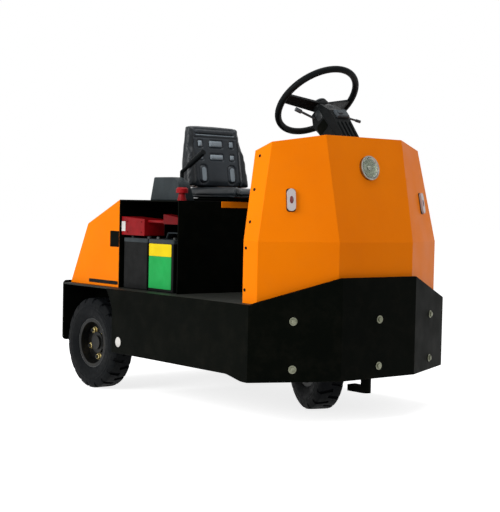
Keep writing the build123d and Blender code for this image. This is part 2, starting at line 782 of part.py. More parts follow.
# Batteries in two rows on each side of the bay
battery_cells = []
for side in (-1, 1):
    for row in range(2):
        y0 = bay_front_y + battery_start + row * (battery_len + battery_gap)
        x_out = side * (box_half - battery_margin)
        x_in = x_out - side * battery_w
        case = block(*sorted((x_out, x_in)), y0, y0 + battery_len, deck_top, deck_top + battery_h)
        battery_cells.append(case)
save(Compound(children=battery_cells), "batteries")

# Carrying straps arched over the front batteries
straps = []
handle_front_y = bay_front_y + battery_start + handle_inset
handle_rear_y = bay_front_y + battery_start + battery_len - handle_inset
handle_z = deck_top + battery_h


def arch(inset, foot_z):
    """Outline of the strap's arch, moved in by inset."""
    top_z = handle_z + handle_rise - inset
    return [
        (handle_front_y + inset, foot_z), (handle_rear_y - inset, foot_z),
        (handle_rear_y - inset - handle_slope, top_z), (handle_front_y + inset + handle_slope, top_z),
    ]


for side in (-1, 1):
    x_mid = side * (box_half - battery_margin - battery_w / 2)
    strap = side_profile(arch(0, handle_z), x_mid - handle_w / 2, x_mid + handle_w / 2)
    straps.append(strap - side_profile(arch(handle_t, handle_z), x_mid - handle_w, x_mid + handle_w))
save(Compound(children=straps), "battery_handles")

# Red contactor box on the bay's rear wall, its connector on the front wall and their cable
power_x = -box_half + battery_margin
power_y = bay_rear_y - box_sheet
power_line = [
    (power_y - power_len, power_z), (power_y, power_z),
    (power_y, power_z + power_rear_h), (power_y - power_len, power_z + power_front_h),
]
save(side_profile(power_line, power_x, power_x + power_w), "contactor_box")
cable_z = power_z + power_front_h - cable_drop - cable_r
conn_z = cable_z - cable_r - connector_over
conn_line = [
    (bay_front_y, conn_z), (bay_front_y + connector_len, conn_z),
    (bay_front_y + connector_len, conn_z + connector_h), (bay_front_y, conn_z + connector_front_h),
]
save(side_profile(conn_line, power_x, power_x + connector_w), "battery_connector")
cable_x = power_x + connector_w / 2
cable = rod((cable_x, bay_front_y + connector_len, cable_z), (cable_x, power_y - power_len, cable_z), cable_r)
save(cable, "battery_cable")

# Rear axle with its differential and pads under the rails
wheel_mid = track / 2
hub_in = wheel_mid + disc_offset - rear_hub_in
axle = rod((-hub_in + run_gap, rear_axle_y, axle_z), (hub_in - run_gap, rear_axle_y, axle_z), axle_tube_r)
axle += rod((-diff_half, rear_axle_y, axle_z), (diff_half, rear_axle_y, axle_z), diff_r)
stub_end = wheel_mid + disc_offset + rear_hub_out
axle += rod((-stub_end, rear_axle_y, axle_z), (stub_end, rear_axle_y, axle_z), rear_stub_r)
pad_top = deck_low - rail_h
for side in (-1, 1):
    flange = sorted((side * (hub_in - run_gap), side * (hub_in - run_gap - axle_flange_t)))
    axle += rod((flange[0], rear_axle_y, axle_z), (flange[1], rear_axle_y, axle_z), axle_flange_r)
    pad_mid = side * (rail_x + rail_w / 2)
    axle += block(
        pad_mid - axle_pad_w / 2, pad_mid + axle_pad_w / 2,
        rear_axle_y - axle_pad_len / 2, rear_axle_y + axle_pad_len / 2, axle_z, pad_top,
    )
save(axle, "rear_axle")
motor_y = rear_axle_y - diff_r - motor_neck_len
motor = rod((0, motor_y, axle_z), (0, motor_y - motor_len, axle_z), motor_r)
neck = rod((0, motor_y, axle_z), (0, rear_axle_y, axle_z), motor_neck_r)
save(motor + (neck - axle), "drive_motor")


def rim_sections(bore, hub_r, hub_low, hub_high, disc_low):
    """Barrel, disc and hub of a wheel as outlines to spin."""
    barrel = [
        (bead_seat_r - rim_t, -rim_half), (rim_flange_r, -rim_half), (rim_flange_r, -rim_half + rim_flange_t),
        (bead_seat_r, -rim_half + rim_flange_t), (bead_seat_r, rim_half - rim_flange_t),
        (rim_flange_r, rim_half - rim_flange_t), (rim_flange_r, rim_half), (bead_seat_r - rim_t, rim_half),
    ]
    disc = [(bore, disc_low), (bead_seat_r - rim_t / 2, disc_low),
            (bead_seat_r - rim_t / 2, disc_low + disc_t), (bore, disc_low + disc_t)]
    hub = [(bore, hub_low), (hub_r, hub_low), (hub_r, hub_high), (bore, hub_high)]
    return barrel, disc, hub


def tyre_ring(radius, outward):
    """Corners of one level of the faceted tyre, the first straight down."""
    turns = [2 * pi * i / tyre_facets for i in range(tyre_facets)]
    return [(outward, radius * sin(turn), -radius * cos(turn)) for turn in turns]


def tyre_solid():
    """Block-tread tyre about the X axis, its lowest corner exactly a tyre's radius down."""
    foot = rim_half - rim_flange_t - bead_gap
    outside = 1 / cos(pi / tyre_facets)
    half = [
        ((bead_seat_r + bead_gap) * outside, foot), ((rim_flange_r + bead_gap) * outside, foot),
        ((rim_flange_r + bead_gap) * outside, rim_half), (bulge_r, tyre_w / 2),
        (shoulder_r, shoulder_half), (tyre_r, tread_half),
    ]
    rings = [tyre_ring(r, a) for r, a in half + [(r, -a) for r, a in reversed(half)]]
    faces = []
    for ring, beside in zip(rings, rings[1:] + rings[:1]):
        for i in range(tyre_facets):
            j = (i + 1) % tyre_facets
            faces.append(Face(Wire.make_polygon([ring[i], ring[j], beside[j], beside[i]], close=True)))
    carcass = Solid(Shell(faces))
    groove = Box(tyre_w, groove_w, cut_past, align=(Align.MIN, Align.CENTER, Align.MIN))
    cutters = []
    for side in (-1, 1):
        for i in range(groove_count):
            turn = 2 * pi * (i + (side + 1) / 4) / groove_count
            out = Vector(0, sin(turn), -cos(turn))
            round_way = Vector(0, cos(turn), sin(turn))
            slant = radians(groove_slant)
            along = Vector(side * cos(slant), 0, 0) + round_way * sin(slant)
            start = out * (tyre_r - groove_depth) - Vector(side * groove_cross, 0, 0)
            cutters.append(Plane(origin=start, x_dir=along, z_dir=out) * groove)
    return carcass - cutters


# Rear wheels
tyre = tyre_solid()
for name, side in (("left", 1), ("right", -1)):
    place = Plane(origin=(side * wheel_mid, rear_axle_y, axle_z), z_dir=(side, 0, 0))
    bore = rear_stub_r + shaft_gap
    hub_low = disc_offset - rear_hub_in
    hub_high = disc_offset + rear_hub_out
    rim = spun(rim_sections(bore, rear_hub_r, hub_low, hub_high, disc_offset), place)
    for spot in PolarLocations(stud_circle_r, stud_count):
        rim += place * spot * Pos(0, 0, disc_offset + disc_t) * Cylinder(stud_r, stud_len, align=up_align)
    cap = Pos(0, 0, hub_high + run_gap) * Cylinder(rear_cap_r, rear_cap_len, align=up_align)
    collar = Cylinder(rear_cap_r, cap_seat + run_gap, align=up_align) - Cylinder(bore, cut_past)
    rim += place * cap + place * Pos(0, 0, hub_high - cap_seat) * collar
    save(rim, f"rear_rim_{name}")
    turned = tyre if side > 0 else mirror(tyre, Plane.YZ)
    save(Pos(side * wheel_mid, rear_axle_y, axle_z) * turned, f"rear_tyre_{name}")

# Front wheel, turned with its fork about the kingpin
steered = Pos(0, front_axle_y, 0) * Rot(0, 0, -steer_rest)
bore = front_pin_r + shaft_gap
cheek_in = tyre_w / 2 + cheek_gap
hub_reach = cheek_in - cheek_play
front_place = Plane(origin=(0, 0, axle_z), z_dir=(1, 0, 0))
front_rim = spun(rim_sections(bore, front_hub_r, -hub_reach, hub_reach, -disc_t / 2), front_place)
save(steered * front_rim, "front_rim")
save(steered * Pos(0, 0, axle_z) * tyre, "front_tyre")

# Steered fork: crown, two cheeks and a kingpin in the bearing under the deck
crown_z = axle_z + tyre_r + crown_gap
bearing_z = crown_z + crown_t + run_gap
cheek_top_z = crown_z + crown_t / 2
fork = Pos(0, 0, crown_z) * Cylinder(crown_r, crown_t, align=up_align)
fork += Pos(0, 0, crown_z) * Cylinder(kingpin_r, deck_low - crown_z - run_gap, align=up_align)
for side in (-1, 1):
    cheek_line = [
        (-cheek_top_half, cheek_top_z), (cheek_top_half, cheek_top_z),
        (cheek_end_r, axle_z), (-cheek_end_r, axle_z),
    ]
    edges = sorted((side * cheek_in, side * (cheek_in + cheek_t)))
    fork += side_profile(cheek_line, *edges)
    fork += rod((edges[0], 0, axle_z), (edges[1], 0, axle_z), cheek_end_r)
pin_span = cheek_in + cheek_t
fork -= rod((-2 * pin_span, 0, axle_z), (2 * pin_span, 0, axle_z), front_pin_r + shaft_gap / 2)
save(steered * fork, "front_fork")
front_pin = rod((-pin_span, 0, axle_z), (pin_span, 0, axle_z), front_pin_r)
for side in (-1, 1):
    head = sorted((side * pin_span, side * (pin_span + pin_head_t)))
    front_pin += rod((head[0], 0, axle_z), (head[1], 0, axle_z), pin_head_r)
save(steered * front_pin, "front_axle_pin")
bearing = Pos(0, front_axle_y, bearing_z) * Cylinder(bearing_r, deck_low - bearing_z, align=up_align)
bearing -= Pos(0, front_axle_y, bearing_z) * Cylinder(kingpin_r + shaft_gap, 4 * deck_low)
save(bearing, "steer_bearing")
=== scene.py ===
"""Looks of the three-wheel electric tow tractor, in metres, in the part's own frame.

X points to the vehicle's left, Y to its rear and Z up. The front bumper's face is
station 0, and st(y) turns a station in metres into the frame's Y.
"""
import math

import bmesh
import bpy
from mathutils import Matrix, Vector


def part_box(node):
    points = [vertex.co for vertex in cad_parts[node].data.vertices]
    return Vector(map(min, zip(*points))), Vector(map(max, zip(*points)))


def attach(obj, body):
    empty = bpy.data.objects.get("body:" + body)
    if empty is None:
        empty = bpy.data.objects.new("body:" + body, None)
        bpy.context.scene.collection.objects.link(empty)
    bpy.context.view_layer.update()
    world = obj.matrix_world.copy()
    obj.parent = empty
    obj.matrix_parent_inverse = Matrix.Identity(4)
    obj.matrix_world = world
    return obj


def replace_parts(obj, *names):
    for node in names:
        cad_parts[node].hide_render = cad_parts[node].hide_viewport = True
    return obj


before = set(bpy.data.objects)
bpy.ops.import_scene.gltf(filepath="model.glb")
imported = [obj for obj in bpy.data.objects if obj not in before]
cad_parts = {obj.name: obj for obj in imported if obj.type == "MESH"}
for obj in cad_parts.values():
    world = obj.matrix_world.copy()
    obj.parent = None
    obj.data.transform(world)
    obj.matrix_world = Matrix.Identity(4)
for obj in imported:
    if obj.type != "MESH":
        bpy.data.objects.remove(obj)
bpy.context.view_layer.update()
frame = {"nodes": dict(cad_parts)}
nodes = frame["nodes"]
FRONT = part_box("front_bumper")[0].y


def st(y):
    """The frame's Y of a station behind the front bumper's face."""
    return FRONT + y


# Camera
def place_camera(spot, yaw, pitch, roll, lens):
    """A camera at a spot, turned from +Y towards +X, down, and about its own axis."""
    level = math.cos(pitch)
    ahead = Vector((math.sin(yaw) * level, math.cos(yaw) * level, -math.sin(pitch)))
    right = Vector((math.cos(yaw), -math.sin(yaw), 0))
    up = right.cross(ahead)
    c, s = math.cos(roll), math.sin(roll)
    axes = (c * right + s * up, -s * right + c * up, -ahead)
    turn = Matrix([[a[i] for a in axes] for i in range(3)]).to_4x4()
    data = bpy.data.cameras.new("camera")
    data.lens = lens
    camera = bpy.data.objects.new("camera", data)
    camera.matrix_world = Matrix.Translation(spot) @ turn
    bpy.context.scene.collection.objects.link(camera)
    bpy.context.scene.camera = camera


CAMERA_SPOT = (-3.5489, st(-3.5142), 0.8512)
YAW, PITCH, ROLL, LENS_MM = 0.6848078, 0.0396605, 0.0213835, 87.305
place_camera(CAMERA_SPOT, YAW, PITCH, ROLL, LENS_MM)


# Materials
def srgb(r, g, b):
    """Linear colour of a display colour given in 0 to 255."""
    out = []
    for v in (r, g, b):
        v /= 255
        out.append(v / 12.92 if v <= 0.04045 else ((v + 0.055) / 1.055) ** 2.4)
    return tuple(out)


class Look:
    """A material under construction: its nodes, links and shader."""

    def __init__(self, name, **shader):
        self.mat = bpy.data.materials.new(name)
        self.mat.use_nodes = True
        self.nodes = self.mat.node_tree.nodes
        self.links = self.mat.node_tree.links
        self.bsdf = self.nodes["Principled BSDF"]
        self.place = self.add("ShaderNodeTexCoord").outputs["Object"]
        for key, value in shader.items():
            socket = self.bsdf.inputs[key.replace("_", " ").title().replace("Ior", "IOR")]
            socket.default_value = (*value, 1) if isinstance(value, tuple) else value

    def add(self, kind, **settings):
        """A new node, each setting given to its property or else to its input."""
        node = self.nodes.new(kind)
        for key, value in settings.items():
            if hasattr(node, key):
                setattr(node, key, value)
            else:
                node.inputs[key.replace("_", " ").title()].default_value = value
        return node

    def noise(self, scale, detail, stretch=(1, 1, 1), roughness=0.5):
        """Cloudy noise, finer with a higher scale."""
        spread = self.add("ShaderNodeMapping")
        spread.inputs["Scale"].default_value = stretch
        self.links.new(self.place, spread.inputs["Vector"])
        node = self.add("ShaderNodeTexNoise", scale=scale, detail=detail, roughness=roughness)
        self.links.new(spread.outputs["Vector"], node.inputs["Vector"])
        return node.outputs["Fac"]

    def cells(self, scale):
        """Distance to the nearest of many scattered points, for a pebbled grain."""
        node = self.add("ShaderNodeTexVoronoi", scale=scale)
        self.links.new(self.place, node.inputs["Vector"])
        return node.outputs["Distance"]

    def ramp(self, value, low, high, low_colour, high_colour):
        """A colour that goes from one to another while the value goes from low to high."""
        node = self.add("ShaderNodeValToRGB")
        stops = ((low, low_colour), (high, high_colour))
        for point, (stop, colour) in zip(node.color_ramp.elements, stops):
            point.position, point.color = stop, (*colour, 1)
        self.links.new(value, node.inputs["Fac"])
        return node.outputs["Color"]

    def mix(self, factor, a, b):
        """The colour between a and b, each a socket or a plain colour."""
        node = self.add("ShaderNodeMix", data_type="RGBA")
        share, first, second = node.inputs[0], node.inputs[6], node.inputs[7]
        for socket, value in ((share, factor), (first, a), (second, b)):
            if isinstance(value, tuple):
                socket.default_value = (*value, 1)
            else:
                self.links.new(value, socket)
        return node.outputs[2]

    def scaled(self, value, low, high, from_low, from_high):
        """A value from one range brought to the range from low to high."""
        node = self.add("ShaderNodeMapRange")
        ends = (("From Min", from_low), ("From Max", from_high), ("To Min", low), ("To Max", high))
        for key, number in ends:
            node.inputs[key].default_value = number
        self.links.new(value, node.inputs["Value"])
        return node.outputs["Result"]

    def times(self, a, b):
        """The product of two values."""
        node = self.add("ShaderNodeMath", operation="MULTIPLY")
        self.links.new(a, node.inputs[0])
        self.links.new(b, node.inputs[1])
        return node.outputs[0]

    def height(self):
        """The height of the place on the surface, in metres."""
        node = self.add("ShaderNodeSeparateXYZ")
        self.links.new(self.place, node.inputs["Vector"])
        return node.outputs["Z"]

    def to(self, socket, value):
        """Link a value to an input of the shader."""
        self.links.new(value, self.bsdf.inputs[socket])

    def rough(self, value, low, high):
        """Roughness from low to high, following a noise."""
        self.to("Roughness", self.scaled(value, low, high, 0.3, 0.7))

    def bump(self, value, depth, strength):
        """Relief from a value, on top of any bump already there."""
        node = self.add("ShaderNodeBump", distance=depth, strength=strength)
        self.links.new(value, node.inputs["Height"])
        normal = self.bsdf.inputs["Normal"]
        if normal.is_linked:
            self.links.new(normal.links[0].from_socket, node.inputs["Normal"])
        self.links.new(node.outputs["Normal"], normal)


DUST = srgb(96, 90, 78)


def paint(name, colour, shade, roughness, specular, film=0.25, film_top=0.6):
    """Sprayed paint: a faint mottle, orange peel, and a film of dust that thins upwards."""
    look = Look(name, specular_ior_level=specular)
    mottle = look.ramp(look.noise(3.0, 5), 0.3, 0.7, shade, colour)
    fade = look.scaled(look.height(), film, 0.02, 0.1, film_top)
    patches = look.scaled(look.noise(15.0, 8, roughness=0.68), 0.0, 1.0, 0.47, 0.72)
    look.to("Base Color", look.mix(look.times(fade, patches), mottle, DUST))
    look.rough(look.noise(9.0, 6), roughness - 0.06, roughness + 0.08)
    look.bump(look.noise(260.0, 2), 0.0004, 0.3)
    look.bump(look.noise(38.0, 2, stretch=(1, 1, 0.2)), 0.0006, 0.12)
    return look.mat


def plastic(name, colour, shade, roughness, specular, grain=900, depth=0.0003):
    """Moulded plastic with a fine cast grain and rubbed patches."""
    look = Look(name, specular_ior_level=specular)
    look.to("Base Color", look.ramp(look.noise(14.0, 6), 0.3, 0.7, shade, colour))
    look.rough(look.noise(30.0, 4), roughness - 0.08, roughness + 0.1)
    look.bump(look.cells(grain), depth, 0.5)
    return look.mat


def film(name, colour, shade):
    """Printed label film, here without any print."""
    return plastic(name, colour, shade, 0.4, 0.12, 1200, 0.0001)


def metal(name, colour, shade, roughness, scale=40.0, grain=0.0002):
    """Bare or plated metal with faint streaks."""
    look = Look(name, metallic=1.0)
    look.to("Base Color", look.ramp(look.noise(scale, 6), 0.35, 0.65, shade, colour))
    look.rough(look.noise(scale * 3, 4), roughness - 0.07, roughness + 0.1)
    look.bump(look.noise(scale * 8, 3), grain, 0.3)
    return look.mat


def rubber(name, colour, dust, roughness, cover=0.6):
    """Rubber with pale dust in patches."""
    look = Look(name, specular_ior_level=0.04)
    patch = look.scaled(look.noise(11.0, 8, roughness=0.65), 0.0, cover, 0.5, 0.78)
    look.to("Base Color", look.mix(patch, colour, dust))
    look.rough(look.noise(60.0, 3), roughness - 0.1, roughness + 0.1)
    look.bump(look.noise(420.0, 4), 0.0006, 0.5)
    return look.mat


def vinyl(name, colour, shade):
    """Seat vinyl: leather grain in two sizes and soft creases, its shine varying in patches."""
    look = Look(name, specular_ior_level=0.22)
    look.to("Base Color", look.ramp(look.noise(9.0, 6), 0.3, 0.7, shade, colour))
    look.rough(look.noise(12.0, 5), 0.26, 0.42)
    look.bump(look.cells(620.0), 0.0004, 0.5)
    look.bump(look.noise(42.0, 3, stretch=(1, 1, 2.5)), 0.0014, 0.2)
    return look.mat


def lens(name, colour, through, roughness=0.08):
    """Clear or tinted lamp plastic with moulded flutes."""
    look = Look(name, base_color=colour, transmission_weight=through, ior=1.45)
    look.rough(look.noise(25.0, 4), roughness, roughness + 0.08)
    wave = look.add("ShaderNodeTexWave", scale=30.0)
    look.links.new(look.place, wave.inputs["Vector"])
    look.bump(wave.outputs["Fac"], 0.0003, 0.08)
    return look.mat


orange_paint = paint("orange_paint", srgb(248, 129, 2), srgb(240, 121, 1), 0.36, 0.04, 0.05)
black_paint = paint("black_paint", srgb(6, 8, 5), srgb(3, 5, 3), 0.48, 0.015, 0.03)
deck_paint = paint("deck_paint", srgb(34, 36, 32), srgb(24, 26, 23), 0.5, 0.15, 0.15, 0.9)
rim_paint = paint("rim_paint", srgb(14, 15, 15), srgb(8, 9, 9), 0.42, 0.15, 0.12)
black_plastic = plastic("black_plastic", srgb(19, 22, 23), srgb(11, 13, 14), 0.38, 0.06)
hub_plastic = plastic("hub_plastic", srgb(72, 79, 84), srgb(54, 60, 64), 0.36, 0.15)
bell_plastic = plastic("bell_plastic", srgb(34, 38, 40), srgb(24, 27, 29), 0.36, 0.15)
grey_plastic = plastic("grey_plastic", srgb(48, 55, 58), srgb(36, 42, 45), 0.38, 0.12)
case_plastic = plastic("case_plastic", srgb(10, 11, 11), srgb(6, 7, 7), 0.45, 0.08)
red_plastic = plastic("red_plastic", srgb(146, 10, 18), srgb(112, 4, 10), 0.42, 0.12, 700, 0.0002)
green_film = film("green_film", srgb(30, 164, 80), srgb(18, 148, 66))
yellow_film = film("yellow_film", srgb(232, 206, 14), srgb(220, 190, 6))
white_film = film("white_film", srgb(218, 216, 212), srgb(200, 197, 192))
zinc = metal("zinc_steel", srgb(196, 190, 174), srgb(158, 150, 130), 0.4)
dull_zinc = metal("dull_zinc", srgb(140, 142, 124), srgb(104, 106, 90), 0.5)
gold_zinc = metal("gold_zinc", srgb(206, 192, 138), srgb(168, 150, 98), 0.42)
cast = metal("cast_grey", srgb(84, 86, 86), srgb(48, 50, 50), 0.6)
tyre_rubber = rubber("tyre_rubber", srgb(13, 15, 17), srgb(42, 42, 40), 0.55, 0.35)
rubber_black = rubber("rubber_black", srgb(14, 17, 18), srgb(34, 35, 35), 0.42, 0.3)
seat_vinyl = vinyl("seat_vinyl", srgb(26, 31, 35), srgb(17, 21, 24))
seat_panel = vinyl("seat_panel_vinyl", srgb(44, 50, 56), srgb(30, 35, 40))
# pale vinyl that paints highlights on the backrest's pads and top roll
seat_painted_highlight = vinyl("seat_painted_highlight_vinyl", srgb(142, 153, 161), srgb(112, 121, 128))
lamp_glass = lens("lamp_glass", srgb(240, 242, 236), 1.0, 0.03)
reflector = metal("reflector", srgb(150, 160, 142), srgb(104, 112, 96), 0.12, 12.0, 0.0)
lamp_trim = metal("lamp_trim", srgb(164, 165, 158), srgb(128, 129, 122), 0.2)
dark_red = plastic("dark_red", srgb(112, 8, 14), srgb(84, 3, 8), 0.42, 0.08, 700, 0.0002)
marker_lens = lens("marker_lens", srgb(212, 204, 206), 0.25)
# dark red that paints a reflection inside the marker lenses
marker_painted_reflection = lens("marker_painted_reflection", srgb(120, 40, 44), 0.2)
tail_lens = lens("tail_lens", srgb(190, 16, 14), 0.35)

node_looks = {
    "floor_plate": deck_paint, "cowl": orange_paint, "coupling_pin": zinc, "headlamp_body": lamp_trim,
    "headlamp_lens": lamp_glass, "marker_lamps": marker_lens, "tail_lamps": tail_lens,
    "steering_column": black_plastic, "column_switch": hub_plastic, "steering_rim": rubber_black,
    "steering_hub": black_plastic, "pedals": rubber_black, "seat_box_strip": orange_paint,
    "rear_hood": orange_paint, "seat_cushion": seat_vinyl, "seat_backrest": seat_vinyl,
    "side_console": grey_plastic, "isolator_knob": red_plastic, "brake_lever": rubber_black,
    "batteries": case_plastic, "battery_handles": grey_plastic, "contactor_box": red_plastic,
    "battery_connector": dark_red, "battery_cable": red_plastic, "rear_axle": cast,
    "drive_motor": cast, "rear_rim_left": rim_paint, "rear_rim_right": rim_paint,
    "front_rim": rim_paint, "rear_tyre_left": tyre_rubber, "rear_tyre_right": tyre_rubber,
    "front_tyre": tyre_rubber, "front_axle_pin": zinc, "steer_bearing": zinc,
}
for name, node in nodes.items():
    node.data.materials.clear()
    node.data.materials.append(node_looks.get(name, black_paint))


# Rounded edges on the plates and covers, as modifiers that leave the nodes' own meshes alone
def soften(name, width):
    """Weld a node's faces, join the flat ones and round its sharp edges."""
    node = nodes[name]
    weld = node.modifiers.new("weld", "WELD")
    weld.merge_threshold = 0.00002
    flat = node.modifiers.new("flat", "DECIMATE")
    flat.decimate_type = "DISSOLVE"
    flat.angle_limit = math.radians(0.5)
    edge = node.modifiers.new("edge", "BEVEL")
    edge.width, edge.segments = width, 2
    edge.limit_method, edge.angle_limit = "ANGLE", math.radians(28)


# nodes by the width of their rounded edges
edge_widths = {
    0.001: ("dash_panel", "seat_box_strip"),
    0.0012: ("cowl", "seat_box_front"),
    0.0015: ("rear_hood", "floor_plate", "seat_deck", "column_switch", "seat_stay", "front_towing_eye",
             "rear_coupling"),
    0.002: ("front_bumper", "rear_bumper", "side_plate_left", "side_plate_right", "battery_handles",
            "steering_hub"),
    0.003: ("contactor_box", "battery_connector"),
    0.004: ("side_console", "batteries"),
    0.005: ("steering_column",),
}
for width, names in edge_widths.items():
    for name in names:
        soften(name, width)


# Builders for the added pieces
def facing(spot, normal, up=(0, 0, 1)):
    """A placement at a spot: its Z is the normal, and its Y leans towards up."""
    z = Vector(normal).normalized()
    x = Vector(up).cross(z).normalized()
    y = z.cross(x)
    turn = Matrix([[a[i] for a in (x, y, z)] for i in range(3)]).to_4x4()
    return Matrix.Translation(spot) @ turn


class Build:
    """Solids gathered into one mesh."""

    def __init__(self):
        self.bm = bmesh.new()

    def skin(self, rings, round_again=False):
        """A skin over rings of points, closed by caps or by going on to the first ring."""
        made = [[self.bm.verts.new(p) for p in ring] for ring in rings]
        pairs = list(zip(made, made[1:]))
        if round_again:
            pairs.append((made[-1], made[0]))
        for low, high in pairs:
            for i in range(len(low)):
                j = (i + 1) % len(low)
                self.bm.faces.new((low[i], low[j], high[j], high[i]))
        if not round_again:
            self.bm.faces.new(reversed(made[0]))
            self.bm.faces.new(made[-1])

    def lathe(self, profile, place, count=24, hollow=False, wide=1.0):
        """A turned form from (radius, height) pairs; a hollow one's profile is a closed loop."""
        rings = []
        for r, z in profile:
            turns = [2 * math.pi * (i + 0.5) / count for i in range(count)]
            rings.append([place @ Vector((wide * r * math.cos(t), r * math.sin(t), z)) for t in turns])
        self.skin(rings, round_again=hollow)

    def slab(self, half, corner, low, high, edge, place, offset=(0.0, 0.0)):
        """A block with rounded corners and a chamfered top edge."""
        rings = []
        for z, inset in ((low, 0.0), (high - edge, 0.0), (high, edge)):
            r = max(corner - inset, 0.0001)
            ring = []
            for k, (sx, sy) in enumerate(((1, 1), (-1, 1), (-1, -1), (1, -1))):
                for i in range(6):
                    t = (k + i / 5) * math.pi / 2
                    x = offset[0] + sx * (half[0] - inset - r) + r * math.cos(t)
                    y = offset[1] + sy * (half[1] - inset - r) + r * math.sin(t)
                    ring.append(place @ Vector((x, y, z)))
            rings.append(ring)
        self.skin(rings)

    def bolt(self, spot, normal, r):
        """A hexagon head with a chamfer, on a washer."""
        place = facing(spot, normal)
        washer = 1.8 * r
        self.lathe([(washer, -0.0005), (washer, 0.16 * r), (washer - 0.1 * r, 0.26 * r)], place)
        self.lathe([(1.2 * r, 0.0), (1.2 * r, 0.85 * r), (1.0 * r, 1.0 * r)], place, 6)

    def screw(self, spot, normal, r):
        """A low domed screw head with a sunk middle."""
        dome = [(r, -0.0005), (r, 0.15 * r), (0.8 * r, 0.42 * r), (0.45 * r, 0.52 * r)]
        self.lathe(dome + [(0.3 * r, 0.2 * r)], facing(spot, normal), 18)

    def done(self, name, look, body, slot, angle=32):
        """The finished piece, riding on its body."""
        bmesh.ops.recalc_face_normals(self.bm, faces=self.bm.faces)
        mesh = bpy.data.meshes.new(name)
        self.bm.to_mesh(mesh)
        self.bm.free()
        return dress(bpy.data.objects.new(name, mesh), look, body, angle)


def dress(piece, look, body, angle=32):
    """Give a piece its material, smooth shading and body."""
    mesh = piece.data
    mesh.materials.clear()
    mesh.materials.append(look)
    mesh.shade_smooth()
    mesh.set_sharp_from_angle(angle=math.radians(angle))
    if piece.name not in bpy.context.scene.collection.objects:
        bpy.context.scene.collection.objects.link(piece)
    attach(piece, body)
    return piece


def at(x, y, z):
    """A place from its side, its station and its height."""
    return Vector((x, st(y), z))


# The cowl's faces, repeated from the solid's own measures
FACET = 0.5                    # how far the slanted face runs back for each step outwards
KINK_Z, TOP_Z = 0.718, 1.142
FRONT_HALF, TOP_FRONT_HALF = 0.207, 0.213
SIDE_HALF, TOP_SIDE_HALF = 0.501, 0.405
FRONT_Y, TOP_FRONT_Y = 0.025, 0.112
FACE_LEAN = (TOP_FRONT_Y - FRONT_Y) / (TOP_Z - KINK_Z)
SIDE_LEAN = (SIDE_HALF - TOP_SIDE_HALF) / (TOP_Z - KINK_Z)


def slanted_face(side, along, z):
    """A place on a slanted face of the cowl, and the face's outward normal."""
    rise = (z - KINK_Z) / (TOP_Z - KINK_Z)
    inner = FRONT_HALF + rise * (TOP_FRONT_HALF - FRONT_HALF)
    outer = SIDE_HALF + rise * (TOP_SIDE_HALF - SIDE_HALF)
    x = inner + along * (outer - inner)
    y = FRONT_Y + rise * (TOP_FRONT_Y - FRONT_Y) + FACET * (x - inner)
    run = Vector((1, FACET, 0))
    up = Vector(((TOP_FRONT_HALF - FRONT_HALF) / (TOP_Z - KINK_Z), FACE_LEAN, 1))
    normal = run.cross(up).normalized()
    normal.x *= side
    return at(side * x, y, z), normal


# Headlamp: a shallow reflector, a bulb shield and a domed glass in place of the solid lens.
# Heights are measured from the cowl's face.
LAMP_Z, LENS_R, LENS_FOOT, LENS_EDGE, LENS_TOP = 1.016, 0.0425, 0.0032, 0.012, 0.0198
LENS_WALL, CENTRE_R = 0.002, 0.00005
BOWL_R, BOWL_WALL, BOWL_FOOT, BOWL_DEPTH = LENS_R - 0.0025, 0.0005, LENS_FOOT + 0.001, 0.0058
BULB_R, LAMP_STEPS = 0.009, 12
face_normal = Vector((0, -1, FACE_LEAN)).normalized()
lamp = facing(at(0, FRONT_Y + FACE_LEAN * (LAMP_Z - KINK_Z), LAMP_Z), face_normal)
outer, inner = [], []
for i in range(LAMP_STEPS + 1):
    share = i / LAMP_STEPS
    r = BULB_R + (BOWL_R - BULB_R) * share
    z = BOWL_FOOT + BOWL_DEPTH * share ** 2
    outer.append((r, z - BOWL_WALL))
    inner.append((r, z))
bowl = Build()
bowl.lathe(outer + inner[::-1], lamp, 64, hollow=True)
bowl.done("headlamp_reflector", reflector, "chassis", "chrome_trim")
shield = Build()
shield.lathe([(0.0085, LENS_FOOT), (0.0085, 0.0075), (0.0065, 0.0095), (0.0025, 0.0102)], lamp, 32)
shield.done("headlamp_bulb_shield", lamp_trim, "chassis", "chrome_trim")
outer, inner = [(LENS_R, LENS_FOOT)], [(LENS_R - LENS_WALL, LENS_FOOT)]
for i in range(LAMP_STEPS + 1):
    turn = math.pi / 2 * i / LAMP_STEPS
    dome = LENS_EDGE + (LENS_TOP - LENS_EDGE) * math.sin(turn)
    outer.append((max(LENS_R * math.cos(turn), CENTRE_R), dome))
    inner.append((max((LENS_R - LENS_WALL) * math.cos(turn), CENTRE_R), dome - 0.0018))
glass = Build()
glass.lathe(outer + inner[::-1], lamp, 64, hollow=True)
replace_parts(glass.done("headlamp_glass", lamp_glass, "chassis", "lamp_glass"), "headlamp_lens")

# Marker lamps: a dark red oval behind the pale lens, a painted reflection, and a black gasket round it
MARKER_Z, MARKER_ALONG, MARKER_HALF, GASKET = 0.88, 0.62, (0.017, 0.044), 0.0015
# the oval of painted reflection: its profile, and its width against its height
REFLECTION_LINE, REFLECTION_WIDE = [(0.015, 0.0112), (0.015, 0.0124), (0.0125, 0.0134), (0.005, 0.014)], 0.5
gasket, reflection_patch = Build(), Build()
for side in (-1, 1):
    spot, normal = slanted_face(side, MARKER_ALONG, MARKER_Z)
    place = facing(spot, normal)
    gasket.slab([half + GASKET for half in MARKER_HALF], 0.01, -0.001, 0.003, 0.001, place)
    reflection_patch.lathe(REFLECTION_LINE, place, 32, wide=REFLECTION_WIDE)
gasket.done("marker_gaskets", rubber_black, "chassis", "rubber_black")
reflection_patch.done("marker_painted_reflections", marker_painted_reflection, "chassis", "marker_lens")

